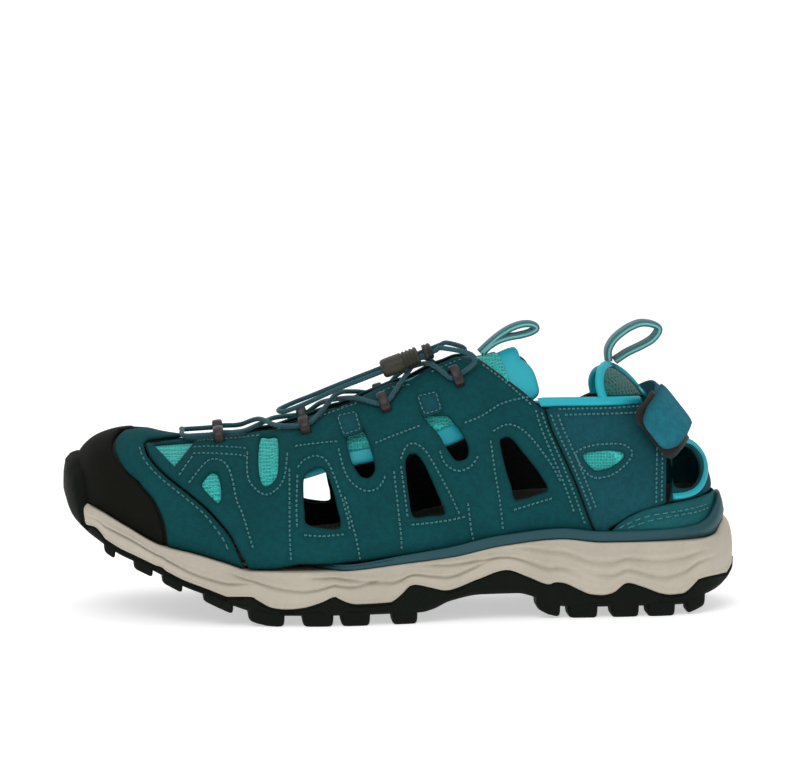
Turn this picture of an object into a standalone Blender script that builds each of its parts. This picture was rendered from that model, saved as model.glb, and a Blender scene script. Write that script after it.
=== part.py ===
"""Closed-toe hybrid sandal, left foot. Metres, +Z up, toe toward -X, lateral side toward -Y.

The ground is z = 0.  Shapes are worked in millimetres and written out in metres.
Side features are laid out on an inclined side elevation ruled in 0.41 mm squares
(turned 4 degrees and raised 6.5 degrees) and carried square-on to the shoe last.
"""
import math
import bmesh
import bpy
import numpy as np
from mathutils import Vector
from mathutils.geometry import delaunay_2d_cdt

# ---------------------------------------------------------------- driving dimensions (mm)
MM = 0.001
CENTRE_Y = 2.377            # puts the footprint box on y = 0; the shapes below are worked about the last's line
SQ = 0.41                      # one square of the side elevation
TURN = math.radians(-4.0)      # turn of the side elevation
RISE = math.radians(6.5)       # rise of the side elevation
BASE_ROW, MID_COL = 606.2, 400.0
LUG = 4.1                      # tread depth
OUT_WALL = 2.8                 # outsole rim thickness
GAP = 0.35                     # clearance between neighbouring pieces
LINING = (0.1, 0.7)            # layers, outward from the last
UPPER = (1.35, 2.4)
COUNTER = (1.3, 2.3)
OVERLAY = (2.95, 3.75)
FRAME_WALL = (4.25, 5.5)
TONGUE = (-4.1, -2.8)
TONGUE_FACE = (-1.9, -1.1)
LACE_R = 0.95
CELL = 12.5                    # panel cell, squares
HEEL_X0 = 60.0
TOE_X = -131.0
HEEL_N = 4.0

for o in list(bpy.data.objects):
    bpy.data.objects.remove(o, do_unlink=True)
for m in list(bpy.data.meshes):
    bpy.data.meshes.remove(m)


# ---------------------------------------------------------------- curves
def curve(xs, ys):
    xs = np.array(xs, float)
    ys = np.array(ys, float)
    h = np.diff(xs)
    d = np.diff(ys) / h
    m = np.zeros(len(xs))
    for i in range(1, len(xs) - 1):
        if d[i - 1] * d[i] > 0:
            w1 = 2 * h[i] + h[i - 1]
            w2 = h[i] + 2 * h[i - 1]
            m[i] = (w1 + w2) / (w1 / d[i - 1] + w2 / d[i])
    m[0], m[-1] = d[0], d[-1]

    def f(x):
        x = np.clip(x, xs[0], xs[-1])
        i = np.clip(np.searchsorted(xs, x) - 1, 0, len(xs) - 2)
        t = (x - xs[i]) / h[i]
        return ((2 * t**3 - 3 * t**2 + 1) * ys[i] + (t**3 - 2 * t**2 + t) * h[i] * m[i]
                + (-2 * t**3 + 3 * t**2) * ys[i + 1] + (t**3 - t**2) * h[i] * m[i + 1])
    return f


# sole plan: centreline and half width
SOLE_X = [-138, -136, -133, -130, -120, -105, -85, -60, -40, -20, 0, 20, 40, 60, 80, 100, 115, 125, 132, 136, 138]
SOLE_C = [8, 7.6, 7, 6, 4.5, 2.5, .5, -1.5, -3.5, -5.5, -6.5, -6, -4.5, -2.5, -1, 0, 0, 0, 0, 0, 0]
SOLE_P = [0, 12, 19.5, 25, 34, 41, 46, 48.8, 48.6, 45.8, 41.3, 37.6, 35.6, 35.8, 36.5, 36, 32.8, 27, 18.5, 10.5, 0]
sole_c = curve(SOLE_X, SOLE_C)
sole_p2 = curve(SOLE_X, np.array(SOLE_P, float)**2)

# sole heights
lug_z = curve([-138, -136, -134, -131, -128, -124, -120, -115, -110, -103.7, -96, -90, -84, -77, -70, -64, -58, -53, 5, 10, 17,
               30, 45, 52, 58, 64, 70, 112, 118, 122, 128, 132, 135, 137, 138],
              [43, 38, 34.5, 31.5, 29, 26.5, 24, 21.3, 19.3, 16.6, 12.9, 10, 7.8, 5.4, 3.2, 1.6, .5, 0, 0, 1, 4, 6.2, 6.2, 4.5, 1.5,
               .4, 0, 0, 1.5, 3, 4.7, 6.5, 9, 11, 12.5])
edge_z = curve([-138, -135, -130, -122, -116, -105.6, -96, -90, -78, -59, -45, -26, -17, -4, 5.7, 18.5, 43, 61, 66, 82, 92,
                110, 122, 134, 138],
               [45.5, 44.4, 39.4, 36.9, 30.1, 24.6, 23.3, 17.2, 12.9, 12.1, 7.2, 11.9, 8.9, 8.9, 15.4, 12.4, 19.6, 13.8, 14.1, 8.9,
                13.7, 8.6, 13.9, 14.4, 16])
mid_z = curve([-135, -133, -125, -113, -98.6, -85, -73, -63, -44.5, -26, -3, 18, 38.6, 63, 80, 100, 122, 134],
              [47.4, 46.9, 44.4, 38.5, 31.3, 28.2, 24.8, 22, 21.8, 22.1, 24.1, 26.1, 29.9, 32, 30.4, 30.3, 30.1, 30.2])
rim_z = curve([120, 128, 131, 136], [0, 0.8, 4.5, 8.3])
frame_z = curve([-34, -22, 0, 16, 28, 41, 65, 100, 119, 124, 127.5, 131.5],
                [2.4, 2.6, 3.6, 4.2, 4.6, 4.4, 4.5, 4.7, 5.6, 7.4, 11, 17])
bed_z = curve([-131, -124, -113, -98, -85, -70, -45, -20, 0, 25, 45, 70, 110, 126],
              [50.6, 48.5, 42.6, 35.5, 32.2, 28.3, 26.6, 29, 32.5, 36.5, 39, 40, 40, 41.5])


def ledge(x):
    return np.clip((x + 54.0) / 10.0, 0, 1)


def foot_z(x):
    return mid_z(x) + 0.7 + 2.2 * ledge(x)


# last: centreline, half width, ridge height, section power, leaning heel line
LAST_X = [-131, -128, -124, -118, -110, -100, -85, -60, -40, -20, 0, 20, 40, 60, 140]
last_c = curve(LAST_X, [7, 6, 5, 4, 3, 2, .5, -1.5, -3.5, -5.5, -6.5, -6, -4.5, -2.5, 0])
last_p2 = curve(LAST_X, np.array([0, 13, 20, 26, 31, 35, 39, 42, 42, 39, 34.5, 31, 29, 28.6, 28.6], float)**2)
RIDGE_X = [-131, -129.5, -126, -120, -113, -108, -102, -96, -88.6, -80, -70, -60, -50, -41, -33, -22, -6, 8, 16, 25, 35, 45,
           52, 60, 70, 80, 92, 130]
RIDGE_Z = [47.1, 61.5, 66.5, 70, 71.8, 71.9, 71.2, 70, 69.3, 69.5, 70.8, 72.5, 74.5, 77.3, 80.3, 84.5, 90.6, 97.2, 100.6,
           103.3, 105, 107, 110, 118, 130, 140, 148, 150]
ridge_h2 = curve(RIDGE_X, (np.array(RIDGE_Z) - foot_z(np.array(RIDGE_X)))**2)
power = curve([-131, -100, -60, 0, 40, 70, 130], [2.4, 2.2, 1.9, 1.75, 1.75, 2, 2])
heel_x = curve([30, 49, 55, 60, 64, 69, 75, 80, 86, 93, 97, 100, 110],
               [126, 126, 124.5, 122.5, 120, 114, 108.5, 104, 98, 91, 85.5, 81, 72])


def half_width2(x, z):
    u = np.clip((x - HEEL_X0) / (heel_x(z) - HEEL_X0), 0, 3)
    h = np.sqrt(np.maximum(ridge_h2(x), 1e-4))
    s = np.clip((z - foot_z(x)) / h, 0, 5)
    return last_p2(x) * (1 - u**HEEL_N) * 1.0 * (1 - s**power(x)) if np.all(u < 1) else \
        np.where(u < 1, last_p2(x) * (1 - u**HEEL_N) * (1 - s**power(x)), last_p2(x) * (1 - u**HEEL_N))


def field(x, y, z):
    return (y - last_c(x))**2 - half_width2(x, z)


def normals(p):
    e = 0.25
    x, y, z = p[:, 0], p[:, 1], p[:, 2]
    g = np.stack([field(x + e, y, z) - field(x - e, y, z), field(x, y + e, z) - field(x, y - e, z),
                  field(x, y, z + e) - field(x, y, z - e)], 1)
    return g / np.maximum(np.linalg.norm(g, axis=1, keepdims=True), 1e-9)


CT, ST, CR, SR = math.cos(TURN), math.sin(TURN), math.cos(RISE), math.sin(RISE)


def sight(col, row, y):
    """Point of the elevation's sight line at depth y."""
    s = (col - MID_COL) * SQ
    v = (BASE_ROW - row) * SQ
    x = (s - y * ST) / CT
    t = -x * ST + y * CT
    return x, y, (v - t * SR) / CR


def to_sheet(x, y, z):
    s = x * CT + y * ST
    t = -x * ST + y * CT
    return MID_COL + s / SQ, BASE_ROW - (z * CR + t * SR) / SQ


def on_last(pts):
    """Sheet points -> points on the lateral side of the last."""
    out = []
    ys = np.linspace(-62, 0, 125)
    for c, r in np.atleast_2d(pts):
        x, y, z = sight(c, r, ys)
        g = field(x, y, z)
        inside = np.where(g < 0)[0]
        if len(inside) and inside[0] > 0:
            lo, hi = ys[inside[0] - 1], ys[inside[0]]
            for _ in range(28):
                mid = 0.5 * (lo + hi)
                a, b, d = sight(c, r, np.array([mid]))
                if field(a, b, d)[0] < 0:
                    hi = mid
                else:
                    lo = mid
            a, b, d = sight(c, r, hi)
        else:
            k = int(np.argmin(g))
            a, b, d = sight(c, r, ys[k])
        out.append((float(a), float(b), float(d)))
    return np.array(out)


def lateral(pts):
    p = on_last(pts)
    return p, normals(p)


def medial(pts):
    p = on_last(pts)
    q = p.copy()
    q[:, 1] = 2 * last_c(p[:, 0]) - p[:, 1]
    return q, normals(q)


def over(pts):
    """(x, section angle) -> point on the last, across the ridge."""
    x, th = pts[:, 0], pts[:, 1] / 25.0
    p = np.stack([x, last_c(x) + np.sqrt(np.maximum(last_p2(x), 0)) * np.sin(th),
                  foot_z(x) + np.sqrt(np.maximum(ridge_h2(x), 0)) * np.abs(np.cos(th))**(2 / power(x))], 1)
    return p, normals(p)


def over_from_sheet(pts):
    p = on_last(pts)
    w = np.sqrt(np.maximum(last_p2(p[:, 0]), 1e-6))
    th = np.arcsin(np.clip((p[:, 1] - last_c(p[:, 0])) / w, -1, 1))
    return np.stack([p[:, 0], th * 25.0], 1)


def round_heel(pts):
    """(heel angle, z) -> point on the last, round the back of the heel."""
    al, z = pts[:, 0] / 25.0, pts[:, 1]
    x = HEEL_X0 + (heel_x(z) - HEEL_X0) * np.abs(np.cos(al))**(2 / HEEL_N)
    s = np.clip((z - foot_z(x)) / np.sqrt(ridge_h2(x)), 0, 1)
    y = last_c(x) + np.sqrt(last_p2(x)) * np.sin(al) * np.sqrt(1 - s**power(x))
    p = np.stack([x, y, z], 1)
    return p, normals(p)


def heel_from_sheet(pts):
    p = on_last(pts)
    u = np.clip((p[:, 0] - HEEL_X0) / (heel_x(p[:, 2]) - HEEL_X0), 0, 1)
    al = -np.arccos(np.clip(u**(HEEL_N / 2), 0, 1))
    return np.stack([al * 25.0, p[:, 2]], 1)


def both_sides(half, flip=0):
    """Close a half outline with its mirror image."""
    other = half[::-1].copy()
    other[:, flip] *= -1
    keep = [p for p in other if abs(p[flip]) > 1e-3]
    return np.vstack([half, np.array(keep)])


# ---------------------------------------------------------------- meshes
def paint(obj, rgb, rough, metal=0.0):
    mat = bpy.data.materials.new(obj.name + "_mat")
    mat.use_nodes = True
    b = mat.node_tree.nodes["Principled BSDF"]
    b.inputs["Base Color"].default_value = (rgb[0], rgb[1], rgb[2], 1)
    b.inputs["Roughness"].default_value = rough
    b.inputs["Metallic"].default_value = metal
    mat.diffuse_color = (rgb[0], rgb[1], rgb[2], 1)
    obj.data.materials.append(mat)


def solid(name, verts, faces, look, smooth=False, parent=None, pivot=(0, 0, 0)):
    """Weld, orient outward and add one closed piece."""
    verts = np.array(verts, float)
    key, index, new = {}, [], []
    for v in verts:
        k = tuple(np.round(v, 4))
        if k not in key:
            key[k] = len(new)
            new.append(v)
        index.append(key[k])
    clean = []
    for f in faces:
        g = [index[i] for i in f]
        h = [g[i] for i in range(len(g)) if g[i] != g[i - 1]]
        if len(set(h)) >= 3:
            clean.append(h)
    new = np.array(new)
    vol = 0.0
    for f in clean:
        for i in range(1, len(f) - 1):
            vol += float(np.dot(new[f[0]], np.cross(new[f[i]], new[f[i + 1]])))
    if vol < 0:
        clean = [f[::-1] for f in clean]
    piv = np.array(pivot, float)
    me = bpy.data.meshes.new(name)
    me.from_pydata([tuple((v - piv) * MM) for v in new], [], clean)
    me.update()
    bm = bmesh.new()
    bm.from_mesh(me)
    bmesh.ops.recalc_face_normals(bm, faces=bm.faces)
    bm.to_mesh(me)
    bm.free()
    if smooth:
        for p in me.polygons:
            p.use_smooth = True
    ob = bpy.data.objects.new(name, me)
    bpy.context.scene.collection.objects.link(ob)
    ob.location = tuple((piv + np.array([0, CENTRE_Y, 0])) * MM)
    paint(ob, look[0], look[1], look[2] if len(look) > 2 else 0.0)
    return ob


def inside(poly, pts):
    x, y = pts[:, 0], pts[:, 1]
    r = np.zeros(len(pts), bool)
    a = poly
    b = np.roll(poly, -1, axis=0)
    for (x1, y1), (x2, y2) in zip(a, b):
        if y1 == y2:
            continue
        c = ((y1 > y) != (y2 > y)) & (x < (x2 - x1) * (y - y1) / (y2 - y1) + x1)
        r ^= c
    return r


def refine(loop, cell):
    out = []
    n = len(loop)
    for i in range(n):
        a, b = loop[i], loop[(i + 1) % n]
        k = max(1, int(math.ceil(np.linalg.norm(b - a) / cell)))
        for j in range(k):
            out.append(a + (b - a) * j / k)
    return np.array(out)


def edge_distance(loop, pts):
    best = np.full(len(pts), 1e9)
    for a, b in zip(loop, np.roll(loop, -1, axis=0)):
        d = b - a
        t = np.clip(((pts - a) @ d) / max(float(d @ d), 1e-12), 0, 1)
        best = np.minimum(best, np.linalg.norm(pts - (a + t[:, None] * d), axis=1))
    return best


def triangulate(outline, holes, cell):
    loops = [refine(np.array(outline, float), cell)] + [refine(np.array(h, float), cell) for h in holes]
    pts, edges = [], []
    for lp in loops:
        k = len(pts)
        pts += list(lp)
        edges += [(k + i, k + (i + 1) % len(lp)) for i in range(len(lp))]
    lo, hi = loops[0].min(0), loops[0].max(0)
    gx = np.arange(lo[0] + cell * .5, hi[0], cell)
    gy = np.arange(lo[1] + cell * .43, hi[1], cell * 0.866)
    grid = np.array([(a + (cell * .5 if j % 2 else 0), b) for j, b in enumerate(gy) for a in gx]).reshape(-1, 2)
    if len(grid):
        ok = inside(loops[0], grid) & (edge_distance(loops[0], grid) > cell * .45)
        for h in loops[1:]:
            ok &= ~inside(h, grid) & (edge_distance(h, grid) > cell * .45)
        pts += list(grid[ok])
    vs, _, fs = delaunay_2d_cdt([Vector((float(p[0]), float(p[1]))) for p in pts], edges, [], 0, 1e-5)[:3]
    vs = np.array([(v[0], v[1]) for v in vs])
    fs = np.array([f for f in fs if len(f) == 3])
    mid = vs[fs].mean(1)
    ok = inside(loops[0], mid)
    for h in loops[1:]:
        ok &= ~inside(h, mid)
    return vs, fs[ok]


def panel(name, outline, holes, lift, layer, look, cell=CELL, smooth=True, **kw):
    v2, tri = triangulate(outline, holes, cell)
    p, n = lift(v2)
    k = len(p)
    verts = np.vstack([p + n * layer[0], p + n * layer[1]])
    faces = [(a + k, b + k, c + k) for a, b, c in tri] + [(c, b, a) for a, b, c in tri]
    count = {}
    for a, b, c in tri:
        for e in ((a, b), (b, c), (c, a)):
            count[e] = count.get(e, 0) + 1
    for (a, b) in list(count):
        if (b, a) not in count:
            faces.append((a, b, b + k, a + k))
    return solid(name, verts, faces, look, smooth, **kw)


def plan_loop(cf, pf, x0, x1, n):
    if isinstance(n, int):
        u = np.linspace(0, 1, n + 1)
        x = x0 + (x1 - x0) * (1 - np.cos(math.pi * u)) / 2
    else:
        x = np.array([x0] + [a for a in n if x0 + 1.0 < a < x1 - .8] + [x1])
    p = np.sqrt(np.maximum(pf(x), 0))
    p[0] = p[-1] = 0
    lat = np.stack([x, cf(x) - p], 1)
    med = np.stack([x, cf(x) + p], 1)[1:-1][::-1]
    return np.vstack([lat, med])


def grown(loop, d):
    t = np.roll(loop, -1, axis=0) - np.roll(loop, 1, axis=0)
    nrm = np.stack([t[:, 1], -t[:, 0]], 1)
    nrm /= np.maximum(np.linalg.norm(nrm, axis=1, keepdims=True), 1e-9)
    if np.dot(nrm[0], (-1, 0)) < 0:
        nrm = -nrm
    return loop + nrm * d


def slab(name, loop, rings, look, lo=None, hi=None, m=4, smooth=False, pivot=(0, 0, 0)):
    """Stack of rings (growth, height function) on a plan loop, closed by ladders."""
    n2 = len(loop)
    n = n2 // 2
    verts, faces = [], []
    for d, zf in rings:
        g = grown(loop, d)
        z = zf(g[:, 0])
        verts += [(a, b, c) for (a, b), c in zip(g, z)]
    for k in range(len(rings) - 1):
        for i in range(n2):
            j = (i + 1) % n2
            faces.append((k * n2 + i, k * n2 + j, (k + 1) * n2 + j, (k + 1) * n2 + i))
    for k, zf, up in ((0, lo, False), (len(rings) - 1, hi, True)):
        ring = [k * n2 + i for i in range(n2)]
        rows = [[ring[0]] * (m + 1)]
        for i in range(1, n):
            a, b = ring[i], ring[n2 - i]
            row = [a]
            for j in range(1, m):
                f = j / m
                p = np.array(verts[a]) * (1 - f) + np.array(verts[b]) * f
                if zf is not None:
                    p[2] = zf(np.array([p[0]]), 2 * f - 1)[0]
                row.append(len(verts))
                verts.append(tuple(p))
            rows.append(row + [b])
        rows.append([ring[n]] * (m + 1))
        for r0, r1 in zip(rows, rows[1:]):
            for j in range(m):
                q = (r0[j], r0[j + 1], r1[j + 1], r1[j])
                faces.append(q if up else q[::-1])
    return solid(name, verts, faces, look, smooth, pivot=pivot)


def tube(name, path, radius, look, sides=8, closed=False, flat=1.0, up=None, smooth=True, pivot=(0, 0, 0)):
    path = np.array(path, float)
    n = len(path)
    if closed:
        t = np.roll(path, -1, axis=0) - np.roll(path, 1, axis=0)
    else:
        t = np.gradient(path, axis=0)
    t /= np.linalg.norm(t, axis=1, keepdims=True)
    ref = np.array(up if up is not None else (0, 0, 1), float)
    verts, faces = [], []
    nrm = ref - t[0] * (ref @ t[0])
    nrm /= np.linalg.norm(nrm)
    frames = []
    for i in range(n):
        if up is not None:
            nrm = ref - t[i] * (ref @ t[i])
        else:
            nrm = nrm - t[i] * (nrm @ t[i])
        nrm = nrm / np.linalg.norm(nrm)
        frames.append(nrm.copy())
    twist = 0.0
    if closed and up is None:
        a = frames[-1] - t[0] * (frames[-1] @ t[0])
        a /= np.linalg.norm(a)
        b = np.cross(t[0], frames[0])
        twist = math.atan2(float(a @ b), float(a @ frames[0]))
    for i in range(n):
        n1 = frames[i]
        n2 = np.cross(t[i], n1)
        w = -twist * i / n
        for k in range(sides):
            q = 2 * math.pi * k / sides + w
            verts.append(path[i] + radius * (math.cos(q) * n1 * flat + math.sin(q) * n2))
    for i in range(n if closed else n - 1):
        j = (i + 1) % n
        for k in range(sides):
            l = (k + 1) % sides
            faces.append((i * sides + k, i * sides + l, j * sides + l, j * sides + k))
    if not closed:
        faces.append(tuple(range(sides))[::-1])
        faces.append(tuple((n - 1) * sides + k for k in range(sides)))
    return solid(name, verts, faces, look, smooth, pivot=pivot)


def prism(name, outline, holes, org, ax, ay, az, z0, z1, look, cell=50.0, smooth=False, pivot=(0, 0, 0)):
    """Plane shape with holes, given thickness along az."""
    v2, tri = triangulate(outline, holes, cell)
    org, ax, ay, az = (np.array(q, float) for q in (org, ax, ay, az))
    base = org + v2[:, :1] * ax + v2[:, 1:] * ay
    k = len(base)
    verts = np.vstack([base + az * z0, base + az * z1])
    faces = [(a + k, b + k, c + k) for a, b, c in tri] + [(c, b, a) for a, b, c in tri]
    pairs = {(a, b) for f in tri for a, b in ((f[0], f[1]), (f[1], f[2]), (f[2], f[0]))}
    for a, b in sorted(pairs):
        if (b, a) not in pairs:
            faces.append((a, b, b + k, a + k))
    return solid(name, verts, faces, look, smooth, pivot=pivot)


def band(name, path, width_dir, width, thick, look, smooth=True, pivot=(0, 0, 0), out=None):
    """Flat strap along a path: width along width_dir, thickness outward from out."""
    path = np.array(path, float)
    w = np.array(width_dir, float)
    w /= np.linalg.norm(w)
    t = np.gradient(path, axis=0)
    t /= np.linalg.norm(t, axis=1, keepdims=True)
    nn = np.cross(w, t)
    nn /= np.linalg.norm(nn, axis=1, keepdims=True)
    if out is not None and np.mean(np.sum(nn * (path - np.array(out)), axis=1)) < 0:
        nn = -nn
    wid = np.full(len(path), width) if np.isscalar(width) else np.array(width)
    verts, faces = [], []
    for p, n, h in zip(path, nn, wid):
        verts += [p + w * h / 2 + n * thick[0], p - w * h / 2 + n * thick[0],
                  p - w * h / 2 + n * thick[1], p + w * h / 2 + n * thick[1]]
    for i in range(len(path) - 1):
        for k in range(4):
            l = (k + 1) % 4
            faces.append((4 * i + k, 4 * i + l, 4 * i + 4 + l, 4 * i + 4 + k))
    faces.append((3, 2, 1, 0))
    e = 4 * (len(path) - 1)
    faces.append((e, e + 1, e + 2, e + 3))
    return solid(name, verts, faces, look, smooth, pivot=pivot)


def spline(pts, per, closed=False):
    pts = np.array(pts, float)
    n = len(pts)
    out = []
    for i in range(n if closed else n - 1):
        if closed:
            p0, p1, p2, p3 = pts[i - 1], pts[i], pts[(i + 1) % n], pts[(i + 2) % n]
        else:
            p0, p1, p2, p3 = pts[max(i - 1, 0)], pts[i], pts[i + 1], pts[min(i + 2, n - 1)]
        for j in range(per):
            t = j / per
            out.append(0.5 * (2 * p1 + (p2 - p0) * t + (2 * p0 - 5 * p1 + 4 * p2 - p3) * t**2
                              + (3 * p1 - p0 - 3 * p2 + p3) * t**3))
    if not closed:
        out.append(pts[-1])
    return np.array(out)


def arr(*p):
    return np.array(p, float)


# ---------------------------------------------------------------- looks (linear colour, roughness)
RUBBER = ((.012, .012, .011), .75)
FOAM = ((.50, .46, .34), .7)
SUEDE = ((.009, .072, .080), .85)
SUEDE2 = ((.014, .095, .130), .85)
SMOOTH = ((.012, .42, .48), .5)
MESHC = ((.05, .46, .42), .8)
BLACK = ((.01, .01, .01), .8)
BAND = ((.016, .105, .120), .5)
BED = ((.05, .042, .036), .8)
LOCK = ((.070, .055, .040), .5)
KEEPER = ((.035, .020, .015), .4)
WEB = ((.02, .125, .135), .8)
LACE = ((.012, .085, .105), .7)

# ================================================================ sole unit
ends = np.array([0, .35, 1.4, 3.2, 5.8, 9.4])
SOLE_STEPS = list(-138 + ends) + list(np.linspace(-123.5, 123.5, 46)) + list((138 - ends)[::-1])
sole = plan_loop(sole_c, sole_p2, -138, 138, SOLE_STEPS)


def tread(x):
    return lug_z(x) + LUG


def out_floor(x):
    return tread(x) + 2.6


def out_rim(x):
    bump = np.where(x < -133.2, np.clip((-133.2 - x) / 1.4, 0, 1) * 17.0, 0.0)
    return np.maximum(edge_z(x), out_floor(x) + 0.3) + bump


outsole = slab("outsole", sole, [
    (-2.2, tread), (-0.4, lambda x: tread(x) + 1.4), (0.0, lambda x: (tread(x) + out_rim(x)) / 2 + .5), (0.0, out_rim),
    (-OUT_WALL, out_rim), (-OUT_WALL, out_floor)], RUBBER, m=3)

LUG_ROWS = [(-121.8, -117), (-110, -102), (-98.8, -90.2), (-82.4, -70), (-64.4, -49.5), (-42.6, -30), (-27.2, -15.2),
            (-6.6, 4.1), (52.5, 62.7), (65.5, 78), (83.2, 95.0), (98, 110), (114.5, 123)]
lug_v, lug_f = [], []


def add_lug(xa, xb, fa, fb, skew=0.0):
    k = len(lug_v)
    for top in (0, 1):
        for x, f in ((xa, fa), (xb, fa), (xb, fb), (xa, fb)):
            xx = x + skew * (f - fa)
            w = math.sqrt(max(float(sole_p2(xx)), 0.0))
            y = float(sole_c(xx)) + f * (w - 1.1)
            z = float(lug_z(xx)) if not top else float(tread(xx)) + 1.3
            lug_v.append((xx, y, z))
    for f in ((0, 1, 2, 3), (7, 6, 5, 4), (0, 4, 5, 1), (1, 5, 6, 2), (2, 6, 7, 3), (3, 7, 4, 0)):
        lug_f.append(tuple(k + i for i in f))


for i, (xa, xb) in enumerate(LUG_ROWS):
    add_lug(xa, xb, -0.99, -0.55)
    add_lug(xa, xb, 0.55, 0.99)
    if -112 < xa < 8 or xa > 60:
        add_lug(xa + 3, xb - .5, -0.38, 0.36, skew=3.0)
lugs = solid("lug_blocks", lug_v, [f for f in lug_f], RUBBER)
# every block is one closed box; the joined volume is oriented once, so all share one sense
mod = outsole.modifiers.new("lugs", 'BOOLEAN')
mod.operation = 'UNION'
mod.solver = 'EXACT'
mod.object = lugs
bpy.context.view_layer.update()
joined = bpy.data.meshes.new_from_object(outsole.evaluated_get(bpy.context.evaluated_depsgraph_get()))
outsole.modifiers.clear()
outsole.data = joined
bpy.data.objects.remove(lugs, do_unlink=True)


def mid_under(x):
    bump = np.clip((x + 12) / 6, 0, 1) * np.clip((62 - x) / 6, 0, 1)
    return out_floor(x) + .5 + 2.3 * bump + .7 * np.clip((np.abs(x) - 112) / 8, 0, 1)


def mid_over_rim(x):
    return np.maximum(edge_z(x), out_floor(x) + 0.3) + .5 + .7 * np.clip((np.abs(x) - 112) / 8, 0, 1)


midloop = plan_loop(sole_c, sole_p2, -131.3, 137.2, SOLE_STEPS)
slab("midsole", midloop, [
    (-OUT_WALL - 1.2, mid_under), (-OUT_WALL - 1.2, mid_over_rim), (-0.5, mid_over_rim),
    (0.1, lambda x: mid_over_rim(x) * .55 + mid_z(x) * .45), (-0.7, lambda x: mid_over_rim(x) * .15 + (mid_z(x) + rim_z(x)) * .85),
    (-1.6, lambda x: mid_z(x) + rim_z(x) * np.clip((x - 118) / 8, 0, 1)),
    (-2.6, lambda x: mid_z(x) + rim_z(x) * np.clip((x - 118) / 8, 0, 1)), (-3.6, mid_z)], FOAM, m=3)

shank = plan_loop(lambda x: sole_c(x), lambda x: 121.0 * (1 - np.clip(np.abs(x - 25) / 30.0, 0, 1)**6), -5, 55, 10)
slab("shank", shank, [(0, lambda x: out_floor(x) + .8), (0, lambda x: out_floor(x) + 1.7)], ((.3, .3, .3), .35, .9), m=2)

lastloop = plan_loop(last_c, lambda x: last_p2(x) * (1 - np.clip((x - HEEL_X0) / (126 - HEEL_X0), 0, 1)**HEEL_N), TOE_X, 126, 40)
slab("insole_board", lastloop, [(-1.2, lambda x: foot_z(x) + .15), (-1.2, lambda x: foot_z(x) + 1.2)], ((.25, .2, .14), .9), m=3)


def bed_edge(x):
    return bed_z(x) + 1.2 + 3.6 * np.clip((x - 5) / 40, 0, 1) + 2.5 * np.clip((x - 95) / 25, 0, 1)


def bed_top(x, f):
    return bed_z(x) + (bed_edge(x) - bed_z(x)) * np.abs(f)**2.5


BED_PIVOT = (-126.0, 6.0, 47.0)     # the footbed lifts out heel first, about its toe end
slab("footbed", lastloop, [(-1.6, lambda x: foot_z(x) + 1.75), (-1.1, lambda x: (foot_z(x) + 1.75) * .5 + bed_edge(x) * .5),
                           (-1.5, bed_edge)], BED, hi=bed_top, m=5, pivot=BED_PIVOT)

fl = plan_loop(last_c, lambda x: last_p2(x) * (1 - np.clip((x - HEEL_X0) / (126 - HEEL_X0), 0, 1)**HEEL_N)
               * np.sqrt(np.clip((x + 36) / 12.0, 0, 1)), -36, 126, 34)
slab("foot_frame", fl, [(FRAME_WALL[1] - .3, lambda x: mid_z(x) + .6), (FRAME_WALL[1], lambda x: mid_z(x) + frame_z(x) * .6),
                        (FRAME_WALL[1] - .2, lambda x: mid_z(x) + frame_z(x) - .1), (FRAME_WALL[0], lambda x: mid_z(x) + frame_z(x)),
                        (FRAME_WALL[0], lambda x: mid_z(x) + 2.0)], BAND, m=3, smooth=True)

# ================================================================ side outlines (sheet squares)
def foot_line(xa, xb, step=5.0, up=0.0):
    x = np.linspace(xa, xb, max(2, int(abs(xb - xa) / step)))
    y = last_c(x) - np.sqrt(half_width2(x, foot_z(x) + up))
    c, r = to_sheet(x, y, foot_z(x) + up)
    return np.stack([c, r], 1)


TOE_REAR = arr((136, 429), (127, 433), (120, 438), (117, 444), (117, 451), (120, 458), (125, 466), (132, 474), (140, 480),
               (147, 488), (155, 496), (161, 505), (166, 515), (169, 525), (170.5, 535))
SEAM = arr((146, 447), (151, 459), (163, 472), (180, 485), (195, 496), (210, 508), (222, 520), (233, 533), (240, 546))
EYESTAY = arr((199, 441), (216, 440), (240, 438), (262, 435), (282, 432), (300, 425), (318, 418), (335, 412), (345, 410),
              (360, 402), (378, 393), (395, 386), (410, 384), (430, 372), (445, 365), (455, 359), (465, 357.5), (475, 358))
BACK_EDGE = arr((483, 363), (500, 375.5), (520, 390.5), (534, 402))
QSEAM = arr((543, 410), (549, 430), (561, 456), (574, 486), (583, 510), (590, 528))
W1 = arr((206, 486), (210, 478), (215, 474), (221, 476), (224, 485), (225, 497), (222, 502), (216, 497))
W2 = arr((262, 442), (270, 441), (280, 442), (281, 470), (278, 480), (270, 486), (264, 482), (261, 465))
W3 = arr((306, 480), (309, 474), (315, 470), (321, 468), (326, 470), (331, 480), (335, 492), (338, 505), (341, 524), (325, 525.5),
         (309, 521), (307, 510), (306, 495))
W4 = arr((348, 441), (353, 436), (363, 432), (368, 440), (372, 452), (375, 465), (374, 472), (369, 477), (362, 476), (357, 470),
         (352, 460))
W5 = arr((405, 462), (408, 455), (413, 453), (419, 457), (424, 465), (430, 478), (436, 492), (443, 511), (428, 513.5), (412, 514),
         (408, 495), (406, 478))
W6 = arr((424, 418), (445, 417), (452, 423), (460, 433), (466, 445), (466, 455), (462, 459), (455, 460), (450, 455), (444, 446),
         (438, 435), (430, 426))
W7 = arr((498, 443), (501, 438), (506, 437), (512, 441), (520, 451), (530, 463), (540, 477), (545, 488), (535, 493), (518, 498),
         (512, 497), (509, 485), (504, 470))
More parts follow.
